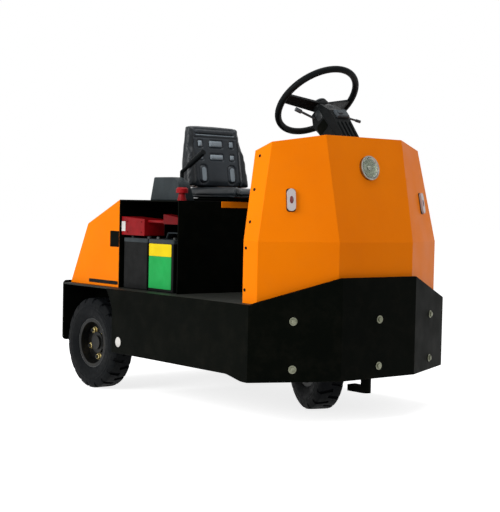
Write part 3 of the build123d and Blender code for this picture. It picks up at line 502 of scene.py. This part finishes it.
# Cowl: screws down each side flange, each by its distance from the middle, station and height
FLANGE_SCREWS = ((0.425, 0.262, 1.052), (0.455, 0.255, 0.919), (0.484, 0.243, 0.792),
                 (0.501, 0.244, 0.69), (0.501, 0.247, 0.526))
FLANGE_SCREW_R = 0.0065
flange = Build()
for side in (-1, 1):
    for x, y, z in FLANGE_SCREWS:
        lean = SIDE_LEAN if z > KINK_Z else 0.0
        flange.screw(at(side * x, y, z), (side, 0, lean), FLANGE_SCREW_R)
flange.done("cowl_screws", black_plastic, "chassis", "black_plastic")

# Front bumper: bolt heads on the middle and on both swept ends
BUMPER_HALF, BUMPER_RUN, BUMPER_SWEEP = 0.207, 0.343, 0.16
END_BOLT_X, BUMPER_BOLT_Z, BOLT_R = 0.387, (0.411, 0.224), 0.009
end_normal = Vector((BUMPER_SWEEP, -BUMPER_RUN, 0)).normalized()
end_bolt_y = (END_BOLT_X - BUMPER_HALF) * BUMPER_SWEEP / BUMPER_RUN
bumper_bolts = Build()
for z in BUMPER_BOLT_Z:
    bumper_bolts.bolt(at(0, 0, z), (0, -1, 0), BOLT_R)
    for side in (-1, 1):
        normal = Vector((side * end_normal.x, end_normal.y, 0))
        bumper_bolts.bolt(at(side * END_BOLT_X, end_bolt_y, z), normal, BOLT_R)
bumper_bolts.done("bumper_bolts", dull_zinc, "chassis", "zinc_steel")

# Right side plate: a blank oval plate ahead of the rear wheel's arch
side_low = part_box("side_plate_right")[0]
OVAL_Y, OVAL_Z, OVAL_R, OVAL_WIDE = 1.063, 0.244, 0.022, 0.92
badge = Build()
badge_place = facing(at(side_low.x, OVAL_Y, OVAL_Z), (-1, 0, 0))
oval_line = [(OVAL_R, -0.0004), (OVAL_R, 0.0008), (OVAL_R - 0.0008, 0.0012)]
badge.lathe(oval_line, badge_place, 48, wide=OVAL_WIDE)
badge.done("blank_oval_plate", white_film, "chassis", "zinc_steel")

# Rear hood: a black strip along each side's foot, painted shade for the shadow line there, and a blank
# dark plate beside the bay
hood_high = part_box("rear_hood")[1]
foot_painted_shade, plate = Build(), Build()
# the black strip of painted shade: its first and last station, and its low and high edge
SHADE_STRIP_Y, SHADE_STRIP_Z = (1.2, 1.442), (0.486, 0.502)
PLATE_Y, PLATE_Z, PLATE_HALF = 1.232, 0.693, 0.036
for side in (-1, 1):
    face = Vector((side * hood_high.x, st(sum(SHADE_STRIP_Y) / 2), sum(SHADE_STRIP_Z) / 2))
    half = ((SHADE_STRIP_Y[1] - SHADE_STRIP_Y[0]) / 2, (SHADE_STRIP_Z[1] - SHADE_STRIP_Z[0]) / 2)
    foot_painted_shade.slab(half, 0.004, -0.0005, 0.0025, 0.001, facing(face, (side, 0, 0)))
foot_painted_shade.done("hood_foot_painted_shade", rubber_black, "chassis", "rubber_black")
plate_place = facing(at(-hood_high.x, PLATE_Y, PLATE_Z), (-1, 0, 0))
plate.slab((PLATE_HALF, PLATE_HALF), 0.003, -0.0005, 0.001, 0.0003, plate_place)
plate.done("hood_plate_blank", black_paint, "chassis", "black_paint")

# Rear coupling: bolts at the corners of its backing plate
jaw_low, jaw_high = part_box("rear_coupling")
BACKING_T, BOLT_IN = 0.014, 0.02
jaw_bolts = Build()
for side in (-1, 1):
    for z in (jaw_low.z + BOLT_IN, jaw_high.z - BOLT_IN):
        spot = Vector((side * (jaw_high.x - BOLT_IN), jaw_low.y + BACKING_T, z))
        jaw_bolts.bolt(spot, (0, 1, 0), BOLT_R)
jaw_bolts.done("coupling_bolts", zinc, "chassis", "zinc_steel")

# Tail lamps: black bezels
tails = Build()
tail_low, tail_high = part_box("tail_lamps")
TAIL_X, TAIL_R, TAIL_GAP, BEZEL_W, BEZEL_H = 0.4, 0.045, 0.0005, 0.005, 0.011
bezel_line = [(TAIL_R + BEZEL_W, 0.0), (TAIL_R + BEZEL_W, BEZEL_H - 0.002), (TAIL_R + 0.003, BEZEL_H),
              (TAIL_R + TAIL_GAP, BEZEL_H), (TAIL_R + TAIL_GAP, 0.0)]
for side in (-1, 1):
    place = facing(Vector((side * TAIL_X, tail_low.y, (tail_low.z + tail_high.z) / 2)), (0, 1, 0))
    tails.lathe(bezel_line, place, 48, hollow=True)
tails.done("tail_bezels", rubber_black, "chassis", "rubber_black")

# Batteries: lids and terminal posts
battery_low, battery_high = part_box("batteries")
BATTERY_W, LID_LOW, LID_TOP, LID_OVER = 0.19, 0.684, 0.7015, 0.0015
BATTERY_Y = ((0.786, 0.97), (0.982, 1.166))
POST_IN, POST_Z = 0.03, 0.7
POST_LINE = [(0.009, 0.0), (0.009, 0.009), (0.0075, 0.011)]
lids, posts = Build(), Build()
for side in (-1, 1):
    for y0, y1 in BATTERY_Y:
        place = Matrix.Translation(at(side * (battery_high.x - BATTERY_W / 2), (y0 + y1) / 2, 0))
        half = (BATTERY_W / 2 + LID_OVER, (y1 - y0) / 2 + LID_OVER)
        lids.slab(half, 0.008, LID_LOW, LID_TOP, 0.002, place)
        for y in (POST_IN, y1 - y0 - POST_IN):
            post = at(side * (battery_high.x - POST_IN), y0 + y, POST_Z)
            posts.lathe(POST_LINE, Matrix.Translation(post), 20)
lids.done("battery_lids", grey_plastic, "chassis", "grey_plastic")
posts.done("battery_posts", cast, "chassis", "cast_grey")

# Blank films on the right battery and the contactor box: first and last station, low and high
# edge, material and corner radius
BAY_FILMS = {
    "label_green": (0.8, 0.967, 0.488, 0.628, green_film, 0.004),
    "label_yellow": (0.8, 0.967, 0.6285, 0.682, yellow_film, 0.004),
    "box_plate_blank": (1.157, 1.187, 0.73, 0.774, white_film, 0.002),
}
for name, (y0, y1, z0, z1, look, corner) in BAY_FILMS.items():
    label = Build()
    place = facing(at(battery_low.x, (y0 + y1) / 2, (z0 + z1) / 2), (-1, 0, 0))
    label.slab(((y1 - y0) / 2, (z1 - z0) / 2), corner, -0.0004, 0.0008, 0.0002, place)
    label.done(name, look, "chassis", "battery_case")

# Contactor box: four cover screws
box_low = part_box("contactor_box")[0]
BOX_SCREW_Y, BOX_SCREW_Z, BOX_SCREW_R = (1.03, 1.14), (0.728, 0.774), 0.004
cover = Build()
for y in BOX_SCREW_Y:
    for z in BOX_SCREW_Z:
        cover.screw(at(box_low.x, y, z), (-1, 0, 0), BOX_SCREW_R)
cover.done("box_screws", dark_red, "chassis", "red_plastic")

# Steering wheel: a domed pad on the hub, along a shaft that leans back by TILT
TILT = math.radians(42.6)
shaft_up = Vector((0, math.sin(TILT), math.cos(TILT)))
HUB_FOOT, HUB_LEN = at(0, 0.3684, 1.2653), 0.03
PAD_R, PAD_EDGE, PAD_RISE = 0.0345, 0.003, 0.016
pad = Build()
pad_place = facing(HUB_FOOT + HUB_LEN * shaft_up, shaft_up, (0, -1, 0))
dome = [(PAD_R, -0.001), (PAD_R, PAD_EDGE)]
for i in range(1, 7):
    turn = math.pi / 2 * i / 7
    dome.append((PAD_R * math.cos(turn), PAD_EDGE + (PAD_RISE - PAD_EDGE) * math.sin(turn)))
pad.lathe(dome, pad_place, 48)
pad.done("steering_hub_pad", grey_plastic, "steering_wheel", "grey_plastic")

# Steering column: a bell under the hub, a black patch on its right side that paints the shade
# of an opening, a switch block in front, ribs below that and a parting line down each side
shaft_ahead = Vector((0, -math.cos(TILT), math.sin(TILT)))
SHROUD_HALF = 0.045
# the shroud's front face stands this far ahead of the axis at its knee and at its foot
KNEE_DOWN, KNEE_AHEAD, FOOT_DOWN, FOOT_AHEAD = 0.108, 0.062, 0.25, 0.048
BLOCK_DOWN, SHADE_PATCH_AHEAD, PARTING_DOWN, PARTING_AHEAD = 0.09, -0.014, 0.13, 0.018
RIB_DOWN, RIB_X = 0.178, (-0.032, -0.0107, 0.0107, 0.032)
BELL_LINE = [(0.036, -0.004), (0.043, -0.009), (0.047, -0.018), (0.0485, -0.03), (0.0485, -0.052),
             (0.046, -0.06)]


def on_column(down, ahead, x):
    """A place by its distance down the column, ahead of its axis and to the left."""
    return HUB_FOOT - down * shaft_up + ahead * shaft_ahead + Vector((x, 0, 0))


bell = Build()
bell.lathe(BELL_LINE, facing(HUB_FOOT, shaft_up, (0, -1, 0)), 48)
bell.done("column_bell", bell_plastic, "chassis", "black_plastic")
shade_patch, block, ribs = Build(), Build(), Build()
# a black patch that paints the shade inside an opening
shade_patch_place = facing(on_column(BLOCK_DOWN, SHADE_PATCH_AHEAD, -SHROUD_HALF), (-1, 0, 0), shaft_up)
shade_patch.slab((0.03, 0.022), 0.012, -0.0005, 0.0012, 0.0005, shade_patch_place)
shade_patch.done("column_painted_shade", black_paint, "chassis", "black_plastic")
block_place = facing(on_column(BLOCK_DOWN, KNEE_AHEAD, 0.006), shaft_ahead, shaft_up)
block.slab((0.034, 0.02), 0.006, -0.004, 0.012, 0.004, block_place)
block.slab((0.012, 0.009), 0.003, 0.01, 0.017, 0.002, block_place, (-0.014, 0.0))
block.done("column_switch_block", hub_plastic, "chassis", "grey_plastic")
lean_back = (KNEE_AHEAD - FOOT_AHEAD) / (FOOT_DOWN - KNEE_DOWN)
rib_normal = shaft_ahead - lean_back * shaft_up
for x in RIB_X:
    middle = on_column(RIB_DOWN, KNEE_AHEAD - lean_back * (RIB_DOWN - KNEE_DOWN), x)
    ribs.slab((0.0045, 0.05), 0.004, -0.002, 0.006, 0.002, facing(middle, rib_normal, shaft_up))
for side in (-1, 1):
    parting = on_column(PARTING_DOWN, PARTING_AHEAD, side * SHROUD_HALF)
    place = facing(parting, (side, 0, 0), shaft_up)
    ribs.slab((0.0018, 0.1), 0.0015, -0.0005, 0.0018, 0.0008, place)
ribs.done("column_ribs", black_plastic, "chassis", "black_plastic")

# Isolator knob's collar, and the ribs on the brake lever's grip
knob_low, knob_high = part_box("isolator_knob")
knob_mid = (knob_low + knob_high) / 2
COLLAR_R = 0.016
collar = Build()
collar_place = Matrix.Translation((knob_mid.x, knob_mid.y, knob_low.z))
collar.lathe([(COLLAR_R, -0.006), (COLLAR_R, 0.0), (COLLAR_R - 0.002, 0.003)], collar_place)
collar.done("knob_collar", black_plastic, "chassis", "black_plastic")

# the elbow's and the tip's station and height
LEVER_X, ELBOW, TIP = 0.3, (0.953, 0.999), (0.798, 1.084)
GRIP_R, GRIP_LEN, GRIP_END, GRIP_RIBS = 0.0125, 0.12, 0.012, 9
grip_line = [(GRIP_R - 0.001, -0.003), (GRIP_R + 0.0008, -0.0012), (GRIP_R + 0.0008, 0.0012),
             (GRIP_R - 0.001, 0.003), (GRIP_R - 0.003, 0.0)]
tip = at(-LEVER_X, *TIP)
back = (at(-LEVER_X, *ELBOW) - tip).normalized()
grip = Build()
for i in range(GRIP_RIBS):
    spot = tip + back * (GRIP_END + i * (GRIP_LEN - 2 * GRIP_END) / (GRIP_RIBS - 1))
    grip.lathe(grip_line, facing(spot, back), 24, hollow=True)
grip.done("lever_grip_ribs", rubber_black, "chassis", "rubber_black")

# Wheels: nuts with their washers on the rear studs, and a thin bare metal line on the edge of each
# rim, a painted highlight
WHEEL_MID, REAR_Y, FRONT_WHEEL_Y, AXLE_Z = 0.445, 1.375, 0.373, 0.2075
STUDS, STUD_R, DISC_FACE, RIM_EDGE, FLANGE_R = 5, 0.066, 0.001, 0.043, 0.114
WASHER_LINE = [(0.0165, 0.0), (0.0165, 0.002), (0.0155, 0.003)]
NUT_LINE = [(0.0135, 0.002), (0.0135, 0.012), (0.0115, 0.0138)]
EDGE_LINE = [(FLANGE_R - 0.0032, 0.0), (FLANGE_R - 0.0016, 0.0007), (FLANGE_R, 0.0),
             (FLANGE_R - 0.0016, -0.0007)]
STEER = math.radians(20)
front_axis = Vector((math.cos(STEER), -math.sin(STEER), 0))
front_mid = at(0, FRONT_WHEEL_Y, AXLE_Z)


def rim_edge_highlight(name, mid, ways, body):
    """A thin bare metal line on a rim's flange, a painted highlight of its edge, on each given way
    out.
    """
    edge = Build()
    for way in ways:
        edge.lathe(EDGE_LINE, facing(mid + way * (RIM_EDGE + 0.0004), way), 72, hollow=True)
    edge.done(name, cast, body, "cast_grey")


for name, side in (("left", 1), ("right", -1)):
    body = f"rear_wheel_{name}"
    mid = at(side * WHEEL_MID, REAR_Y, AXLE_Z)
    out = Vector((side, 0, 0))
    nuts = Build()
    for i in range(STUDS):
        turn = 2 * math.pi * i / STUDS
        spoke = Vector((0, math.sin(turn), side * math.cos(turn)))
        place = facing(mid + out * DISC_FACE + STUD_R * spoke, out, spoke)
        nuts.lathe(WASHER_LINE, place)
        nuts.lathe(NUT_LINE, place, 6)
    nuts.done(f"rear_nuts_{name}", gold_zinc, body, "zinc_steel")
    rim_edge_highlight(f"rear_rim_edge_{name}", mid, [out], body)
rim_edge_highlight("front_rim_edges", front_mid, [-front_axis, front_axis], "front_wheel")

# Tyres: the solids' form with finer blocks, chevron grooves and sidewall rings
TYRE_R, GROOVE_FLOOR, GROOVE_SLANT = 0.2075, 0.198, math.radians(14)
CELLS, FIRST = 36, math.radians(-2.5)  # a cell is one groove and one block; the first starts here
CELL = 2 * math.pi / CELLS
CROSS = 0.006                          # a groove crosses the middle by this
LUG_LOW, LUG_CUT = 0.183, 0.0035       # it notches the shoulder down to this radius, this deep
# the half section, each point by its distance from the tyre's middle plane and its radius
sidewall = [(0.0378, 0.1019), (0.0378, 0.1128), (0.043, 0.1144), (0.0462, 0.116), (0.0486, 0.123),
            (0.0513, 0.133), (0.0538, 0.144), (0.0553, 0.152), (0.0556, 0.16), (0.0548, 0.164),
            (0.0556, 0.1662), (0.0556, 0.1702), (0.0548, 0.172), (0.0545, 0.181), (0.0534, 0.1885)]
shoulder = [(0.0516, 0.193), (0.0502, 0.1962), (0.0478, 0.2004), (0.0448, 0.2045), (0.0425, 0.2064)]
tread = [(0.04, 0.2069), (0.032, 0.2073)] + [(a, TYRE_R) for a in (0.02, 0.0064, 0.0058, 0.0)]
half = sidewall + shoulder + tread
columns = half + [(-a, r) for a, r in reversed(half[:-1])]
# rings at these shares of a cell; the groove's floor lies between the second and the third
shares = [0.0, 0.035, 0.465, 0.5, 0.625, 0.75, 0.875]
groove_shares = shares[1:3]


def tyre(name, node, body, mid, axis, hand):
    """A tyre about an axis, its grooves in two rows that take turns round it."""
    place = facing(mid, axis)
    slant = math.tan(GROOVE_SLANT) / TYRE_R
    rings = []
    for cell in range(CELLS):
        row = -1 if cell % 2 == 0 else 1
        for share in shares:
            ring = []
            for a, r in columns:
                sunk = share in groove_shares and row * a > -CROSS - 0.0001
                if sunk and r > GROOVE_FLOOR:
                    r = GROOVE_FLOOR
                if sunk and LUG_LOW < r < GROOVE_FLOOR:
                    a -= math.copysign(LUG_CUT, a)
                turn = FIRST + (cell + share) * CELL + (abs(a) + CROSS) * slant
                ring.append(place @ Vector((hand * r * math.sin(turn), -r * math.cos(turn), hand * a)))
            rings.append(ring)
    form = Build()
    form.skin(rings, round_again=True)
    piece = form.done(name, tyre_rubber, body, "tyre", 26)
    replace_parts(piece, node)


for name, side in (("left", 1), ("right", -1)):
    tyre(f"tread_tyre_{name}", f"rear_tyre_{name}", f"rear_wheel_{name}",
         at(side * WHEEL_MID, REAR_Y, AXLE_Z), Vector((1, 0, 0)), side)
tyre("tread_tyre_front", "front_tyre", "front_wheel", front_mid, front_axis, 1)


# Seat: both pads start a little slim, swell as cloth, and get their sewn forms afterwards
PAD_CUTS, VOXEL, PRESSURE, SWELL_STEPS, SWELL_CAP = 40, 0.005, 4.0, 20, 0.006


def smooth(t):
    """A soft step from 0 to 1 as t goes from 0 to 1."""
    t = min(max(t, 0.0), 1.0)
    return t * t * (3 - 2 * t)


def falloff(t, power, root):
    """1 over a pad's middle, down to 0 at its edges; a high power keeps it square."""
    return (1 - abs(t) ** power) ** root


def round_box(dx, dz, half_x, half_z, r):
    """Signed distance to a rectangle with round corners."""
    qx, qz = abs(dx) - half_x + r, abs(dz) - half_z + r
    outside = math.hypot(max(qx, 0.0), max(qz, 0.0))
    return outside + min(max(qx, qz), 0.0) - r


def seam(d, depth, width):
    """The valley that a sewn line pulls into a pad, at a distance from the line."""
    return -depth * math.exp(-((d / width) ** 2))


def cushion(name, node, shape, held, relief, tone):
    """A pad: a shaped block, remeshed, swollen by pressure, then sewn from vinyl in three tones, the
    palest of them a painted highlight.
    """
    bm = bmesh.new()
    bmesh.ops.create_cube(bm, size=2)
    bmesh.ops.subdivide_edges(bm, edges=bm.edges[:], cuts=PAD_CUTS, use_grid_fill=True)
    for v in bm.verts:
        v.co = shape(*v.co)
    mesh = bpy.data.meshes.new(name)
    bm.to_mesh(mesh)
    bm.free()
    pad = bpy.data.objects.new(name, mesh)
    bpy.context.scene.collection.objects.link(pad)
    remesh = pad.modifiers.new("remesh", "REMESH")
    remesh.mode, remesh.voxel_size = "VOXEL", VOXEL
    bake(pad)
    swell(pad, held)
    finer = pad.modifiers.new("finer", "SUBSURF")
    finer.levels = finer.render_levels = 1
    bake(pad)
    moves = [(v.index, v.co + v.normal * relief(v.co, v.normal)) for v in pad.data.vertices]
    for index, spot in moves:
        pad.data.vertices[index].co = spot
    dress(pad, seat_vinyl, "chassis", 60)
    # the second of these vinyls is pale and paints highlights
    for look in (seat_panel, seat_painted_highlight):
        pad.data.materials.append(look)
    for face in pad.data.polygons:
        face.material_index = tone(face.center, face.normal)
    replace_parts(pad, node)
    return pad


def bake(piece):
    """Turn a piece's modifiers into its own mesh."""
    graph = bpy.context.evaluated_depsgraph_get()
    baked = bpy.data.meshes.new_from_object(piece.evaluated_get(graph))
    piece.modifiers.clear()
    piece.data = baked


def swell(piece, held):
    """Blow a pad up as cloth, no vertex by more than the cap."""
    scene = bpy.context.scene
    start = [v.co.copy() for v in piece.data.vertices]
    group = piece.vertex_groups.new(name="held")
    group.add([i for i, p in enumerate(start) if held(p)], 1.0, "REPLACE")
    cloth = piece.modifiers.new("cloth", "CLOTH").settings
    cloth.use_pressure, cloth.uniform_pressure_force = True, PRESSURE
    cloth.effector_weights.gravity = 0.0
    cloth.vertex_group_mass = "held"
    for step in range(1, SWELL_STEPS + 1):
        scene.frame_set(step)
    graph = bpy.context.evaluated_depsgraph_get()
    blown = piece.evaluated_get(graph).data
    moved = [v.co.copy() for v in blown.vertices]
    piece.modifiers.clear()
    piece.vertex_groups.clear()
    for v, was, now in zip(piece.data.vertices, start, moved):
        move = now - was
        if move.length > SWELL_CAP:
            move *= SWELL_CAP / move.length
        v.co = was + move
    scene.frame_set(1)


seat_low, seat_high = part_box("seat_cushion")
SEAT_HALF = seat_high.x - 0.006
SEAT_TOP = seat_high.z - 0.013
NOSE = 0.075                   # the front roll's depth
BOLSTER = 0.155                # the side bolsters begin here
CHANNELS = (NOSE, 0.175, 0.275)
CHANNEL_CROWN = 0.0025         # how far the panel swells between two channels, 0.1 apart
# seams by their depth and width
FOOT_SEAM, CHANNEL_SEAM, BOLSTER_SEAM = (0.002, 0.003), (0.0045, 0.005), (0.005, 0.005)


def cushion_shape(u, v, w):
    """The seat cushion: flat below, rolled in front, its sides pulled in."""
    side, end = falloff(u, 8, 0.3), falloff(v, 8, 0.3)
    depth = (seat_high.y - seat_low.y) / 2 - 0.006
    x = u * (SEAT_HALF - 0.012 * max(v, 0.0) ** 2) * (1 - 0.012 * (1 - end))
    y = (seat_low.y + seat_high.y) / 2 + v * depth * (1 - 0.02 * (1 - side))
    thick = SEAT_TOP - seat_low.z
    mid = seat_low.z + 0.5 * thick
    rise = 0.008 * smooth((abs(x) - 0.14) / 0.03) if w > 0 else 0.0
    full = min(side, end)
    return Vector((x, y, mid + w * 0.5 * thick * full + rise * full))


def cushion_relief(p, normal):
    """Seams of the front roll, the bolsters and two cross channels."""
    if normal.z < 0.2:
        return seam(p.z - (seat_low.z + 0.012), *FOOT_SEAM)
    y = p.y - seat_low.y
    move = 0.0
    if abs(p.x) < BOLSTER:
        for channel in CHANNELS:
            move += seam(y - channel, *CHANNEL_SEAM)
        move += CHANNEL_CROWN * abs(math.sin(math.pi * (y - NOSE) / 0.1)) if y > NOSE else 0.0
    return move + seam(abs(p.x) - BOLSTER, *BOLSTER_SEAM)


def cushion_tone(p, normal):
    """1 on the panel between the bolsters, 0 elsewhere."""
    return int(normal.z > 0.3 and abs(p.x) < BOLSTER)


seat_pad = cushion("seat_pad", "seat_cushion", cushion_shape, lambda p: p.z < seat_low.z + 0.006,
                   cushion_relief, cushion_tone)

back_low, back_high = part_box("seat_backrest")
BACK_Z0, BACK_Z1 = back_low.z + 0.003, back_high.z + 0.008
FOOT_FRONT, TOP_FRONT = st(1.068), st(1.118)
FOOT_REAR, TOP_REAR = st(1.145), st(1.168)
WING_TOP, WING_IN, WING_AHEAD = 1.12, 0.118, 0.011
PANEL_HALF = 0.128             # the front panel between the wings' seams
# the top roll's seam height, then the height and half width of a pale strip on the top roll that
# paints a highlight
ROLL_SEAM_Z, HIGHLIGHT_STRIP_Z, HIGHLIGHT_STRIP_HALF = 1.168, 1.181, 0.112
RIM_SEAM, WING_SEAM = (0.0025, 0.0035), (0.0055, 0.005)
ROLL_SEAM, PAD_SEAM = (0.004, 0.0045), (0.0045, 0.0038)
PAD_CROWN = 0.003              # how far each sewn pad stands out
# the backrest's half width at shares of its height
BACK_WIDTHS = ((0.0, 0.186), (0.12, 0.186), (0.35, 0.182), (0.6, 0.172), (0.8, 0.16), (1.0, 0.15))
BACK_WAIST = 0.4               # the rim lies at this share of the thickness from the front


def back_front(z):
    """The front face's Y at a height."""
    return FOOT_FRONT + (TOP_FRONT - FOOT_FRONT) * (z - back_low.z) / (back_high.z - back_low.z)


def back_rear(z):
    """The rear face's Y at a height."""
    return FOOT_REAR + (TOP_REAR - FOOT_REAR) * (z - back_low.z) / (back_high.z - back_low.z)


def width_at(share):
    """The half width at a share of the height."""
    for (s0, w0), (s1, w1) in zip(BACK_WIDTHS, BACK_WIDTHS[1:]):
        if share <= s1:
            return w0 + (w1 - w0) * smooth((share - s0) / (s1 - s0))
    return BACK_WIDTHS[-1][1]


def back_shape(u, v, w):
    """The backrest: waisted above the wings, crowned in front, its rim pulled in."""
    corner = falloff(u, 6 if v > 0 else 9, 0.2)
    mid_z = (BACK_Z0 + BACK_Z1) / 2
    tall = (BACK_Z1 - BACK_Z0) / 2
    z = mid_z + v * tall * (1 - 0.16 * (1 - corner) * (1 if v > 0 else 0.5))
    x = u * width_at((z - BACK_Z0) / (BACK_Z1 - BACK_Z0)) * (1 - 0.06 * max(w, 0.0))
    edge = min(falloff(u, 14, 0.25), falloff(v, 14, 0.25))
    front, rear = back_front(z) + 0.004, back_rear(z) - 0.003
    ahead = WING_AHEAD * smooth((abs(x) - WING_IN) / 0.03) * smooth((WING_TOP + 0.01 - z) / 0.04)
    middle = front + BACK_WAIST * (rear - front)
    reach = (middle - front + ahead) if w < 0 else (rear - middle)
    return Vector((x, middle + w * reach * edge, z))


# pads of the backrest: middle, height, half width, half height, corner
TOP_ROLL = (0.0, 1.196, 0.116, 0.013, 0.012)
SMALL_PADS = [(x, z, half_x, half_z, 0.007) for z, half_z in ((1.139, 0.017), (1.078, 0.0145))
              for x, half_x in ((0.0, 0.04), (-0.091, 0.015), (0.091, 0.015))]
TALL_PADS = [(x, 0.998, 0.023, 0.042, 0.02) for x in (-0.083, 0.083)]


def back_relief(p, normal):
    """Sewn pads, the wings' seams and the piping round the rim."""
    waist = back_front(p.z) + BACK_WAIST * (back_rear(p.z) - back_front(p.z))
    rim = seam(p.y - waist, *RIM_SEAM)
    if normal.y > -0.25:
        return rim if abs(normal.y) < 0.7 else 0.0
    move = seam(abs(p.x) - PANEL_HALF, *WING_SEAM) * smooth((1.16 - p.z) / 0.02)
    move += seam(p.z - ROLL_SEAM_Z, *ROLL_SEAM) * smooth((0.13 - abs(p.x)) / 0.01)
    for x, z, half_x, half_z, corner in [TOP_ROLL] + SMALL_PADS + TALL_PADS:
        d = round_box(p.x - x, p.z - z, half_x, half_z, corner)
        move += seam(d, *PAD_SEAM)
        if d < 0:
            move += PAD_CROWN * smooth(-d / 0.012)
    return move


def back_tone(p, normal):
    """2 on the pads' middles and on a strip along the top roll, highlights painted in pale vinyl; 1 on
    the front panel, 0 elsewhere.
    """
    if normal.y > -0.3 or abs(p.x) > PANEL_HALF:
        return 0
    for pads, margin in ((SMALL_PADS, 0.0035), (TALL_PADS, 0.011)):
        for x, z, half_x, half_z, corner in pads:
            if round_box(p.x - x, p.z - z, half_x, half_z, corner) < -margin:
                return 2
    return 2 if abs(p.z - HIGHLIGHT_STRIP_Z) < 0.0025 and abs(p.x) < HIGHLIGHT_STRIP_HALF else 1


back_pad = cushion("seat_back_pad", "seat_backrest", back_shape,
                   lambda p: p.y > back_rear(p.z) - 0.009, back_relief, back_tone)


# Floor, world and lamps
FLOOR_HALF = 40
floor_corners = [(x * FLOOR_HALF, y * FLOOR_HALF, 0) for x, y in ((-1, -1), (1, -1), (1, 1), (-1, 1))]
floor_mesh = bpy.data.meshes.new("floor")
floor_mesh.from_pydata(floor_corners, [], [(0, 1, 2, 3)])
floor = bpy.data.objects.new("floor", floor_mesh)
bpy.context.scene.collection.objects.link(floor)
floor_mat = bpy.data.materials.new("floor")
floor.data.materials.append(floor_mat)


def camera_share(nodes, links):
    """1 for rays that carry the background to the camera, straight or through metal and glass."""
    path = nodes.new("ShaderNodeLightPath")
    seen = path.outputs["Is Camera Ray"]
    for other in ("Is Glossy Ray", "Is Transmission Ray"):
        either = nodes.new("ShaderNodeMath")
        either.operation = "MAXIMUM"
        links.new(seen, either.inputs[0])
        links.new(path.outputs[other], either.inputs[1])
        seen = either.outputs[0]
    return seen


# the floor's own colour, and the glow that lifts it to white for the camera
FLOOR_ALBEDO, FLOOR_LIFT = 0.6, 0.8
floor_mat.use_nodes = True
fn, fl = floor_mat.node_tree.nodes, floor_mat.node_tree.links
shade = fn["Principled BSDF"]
shade.inputs["Base Color"].default_value = (FLOOR_ALBEDO, FLOOR_ALBEDO, FLOOR_ALBEDO, 1)
shade.inputs["Roughness"].default_value = 0.9
shade.inputs["Specular IOR Level"].default_value = 0.0
glow = fn.new("ShaderNodeEmission")
lift = fn.new("ShaderNodeMath")
lift.operation = "MULTIPLY"
lift.inputs[1].default_value = FLOOR_LIFT
fl.new(camera_share(fn, fl), lift.inputs[0])
fl.new(lift.outputs[0], glow.inputs["Strength"])
both = fn.new("ShaderNodeAddShader")
fl.new(shade.outputs[0], both.inputs[0])
fl.new(glow.outputs[0], both.inputs[1])
fl.new(both.outputs[0], fn["Material Output"].inputs["Surface"])

AMBIENT = 0.46
world = bpy.data.worlds.new("studio")
bpy.context.scene.world = world
world.use_nodes = True
wn, wl = world.node_tree.nodes, world.node_tree.links
backdrop = wn.new("ShaderNodeBackground")
backdrop.inputs["Color"].default_value = (1, 1, 1, 1)
ambient = wn["Background"]
ambient.inputs["Color"].default_value = (1, 1, 1, 1)
ambient.inputs["Strength"].default_value = AMBIENT
blend = wn.new("ShaderNodeMixShader")
wl.new(camera_share(wn, wl), blend.inputs[0])
wl.new(ambient.outputs[0], blend.inputs[1])
wl.new(backdrop.outputs[0], blend.inputs[2])
wl.new(blend.outputs[0], wn["World Output"].inputs["Surface"])


def area_light(name, spot, aim, size, power):
    """A soft square lamp at a spot, facing a point, its size in metres and power in watts."""
    data = bpy.data.lights.new(name, "AREA")
    data.size, data.energy = size, power
    light = bpy.data.objects.new(name, data)
    light.location = spot
    light.rotation_euler = (Vector(aim) - Vector(spot)).to_track_quat("-Z", "Y").to_euler()
    bpy.context.scene.collection.objects.link(light)


area_light("key", (-5.0, -0.3, 2.8), (0, 0, 0.7), 2.5, 200)
area_light("fill", (0.5, -6.0, 3.4), (0, 0, 0.8), 3.0, 28)
area_light("top", (0.0, -0.6, 5.0), (0, 0, 0), 3.5, 90)

bpy.context.scene.view_settings.view_transform = "Standard"
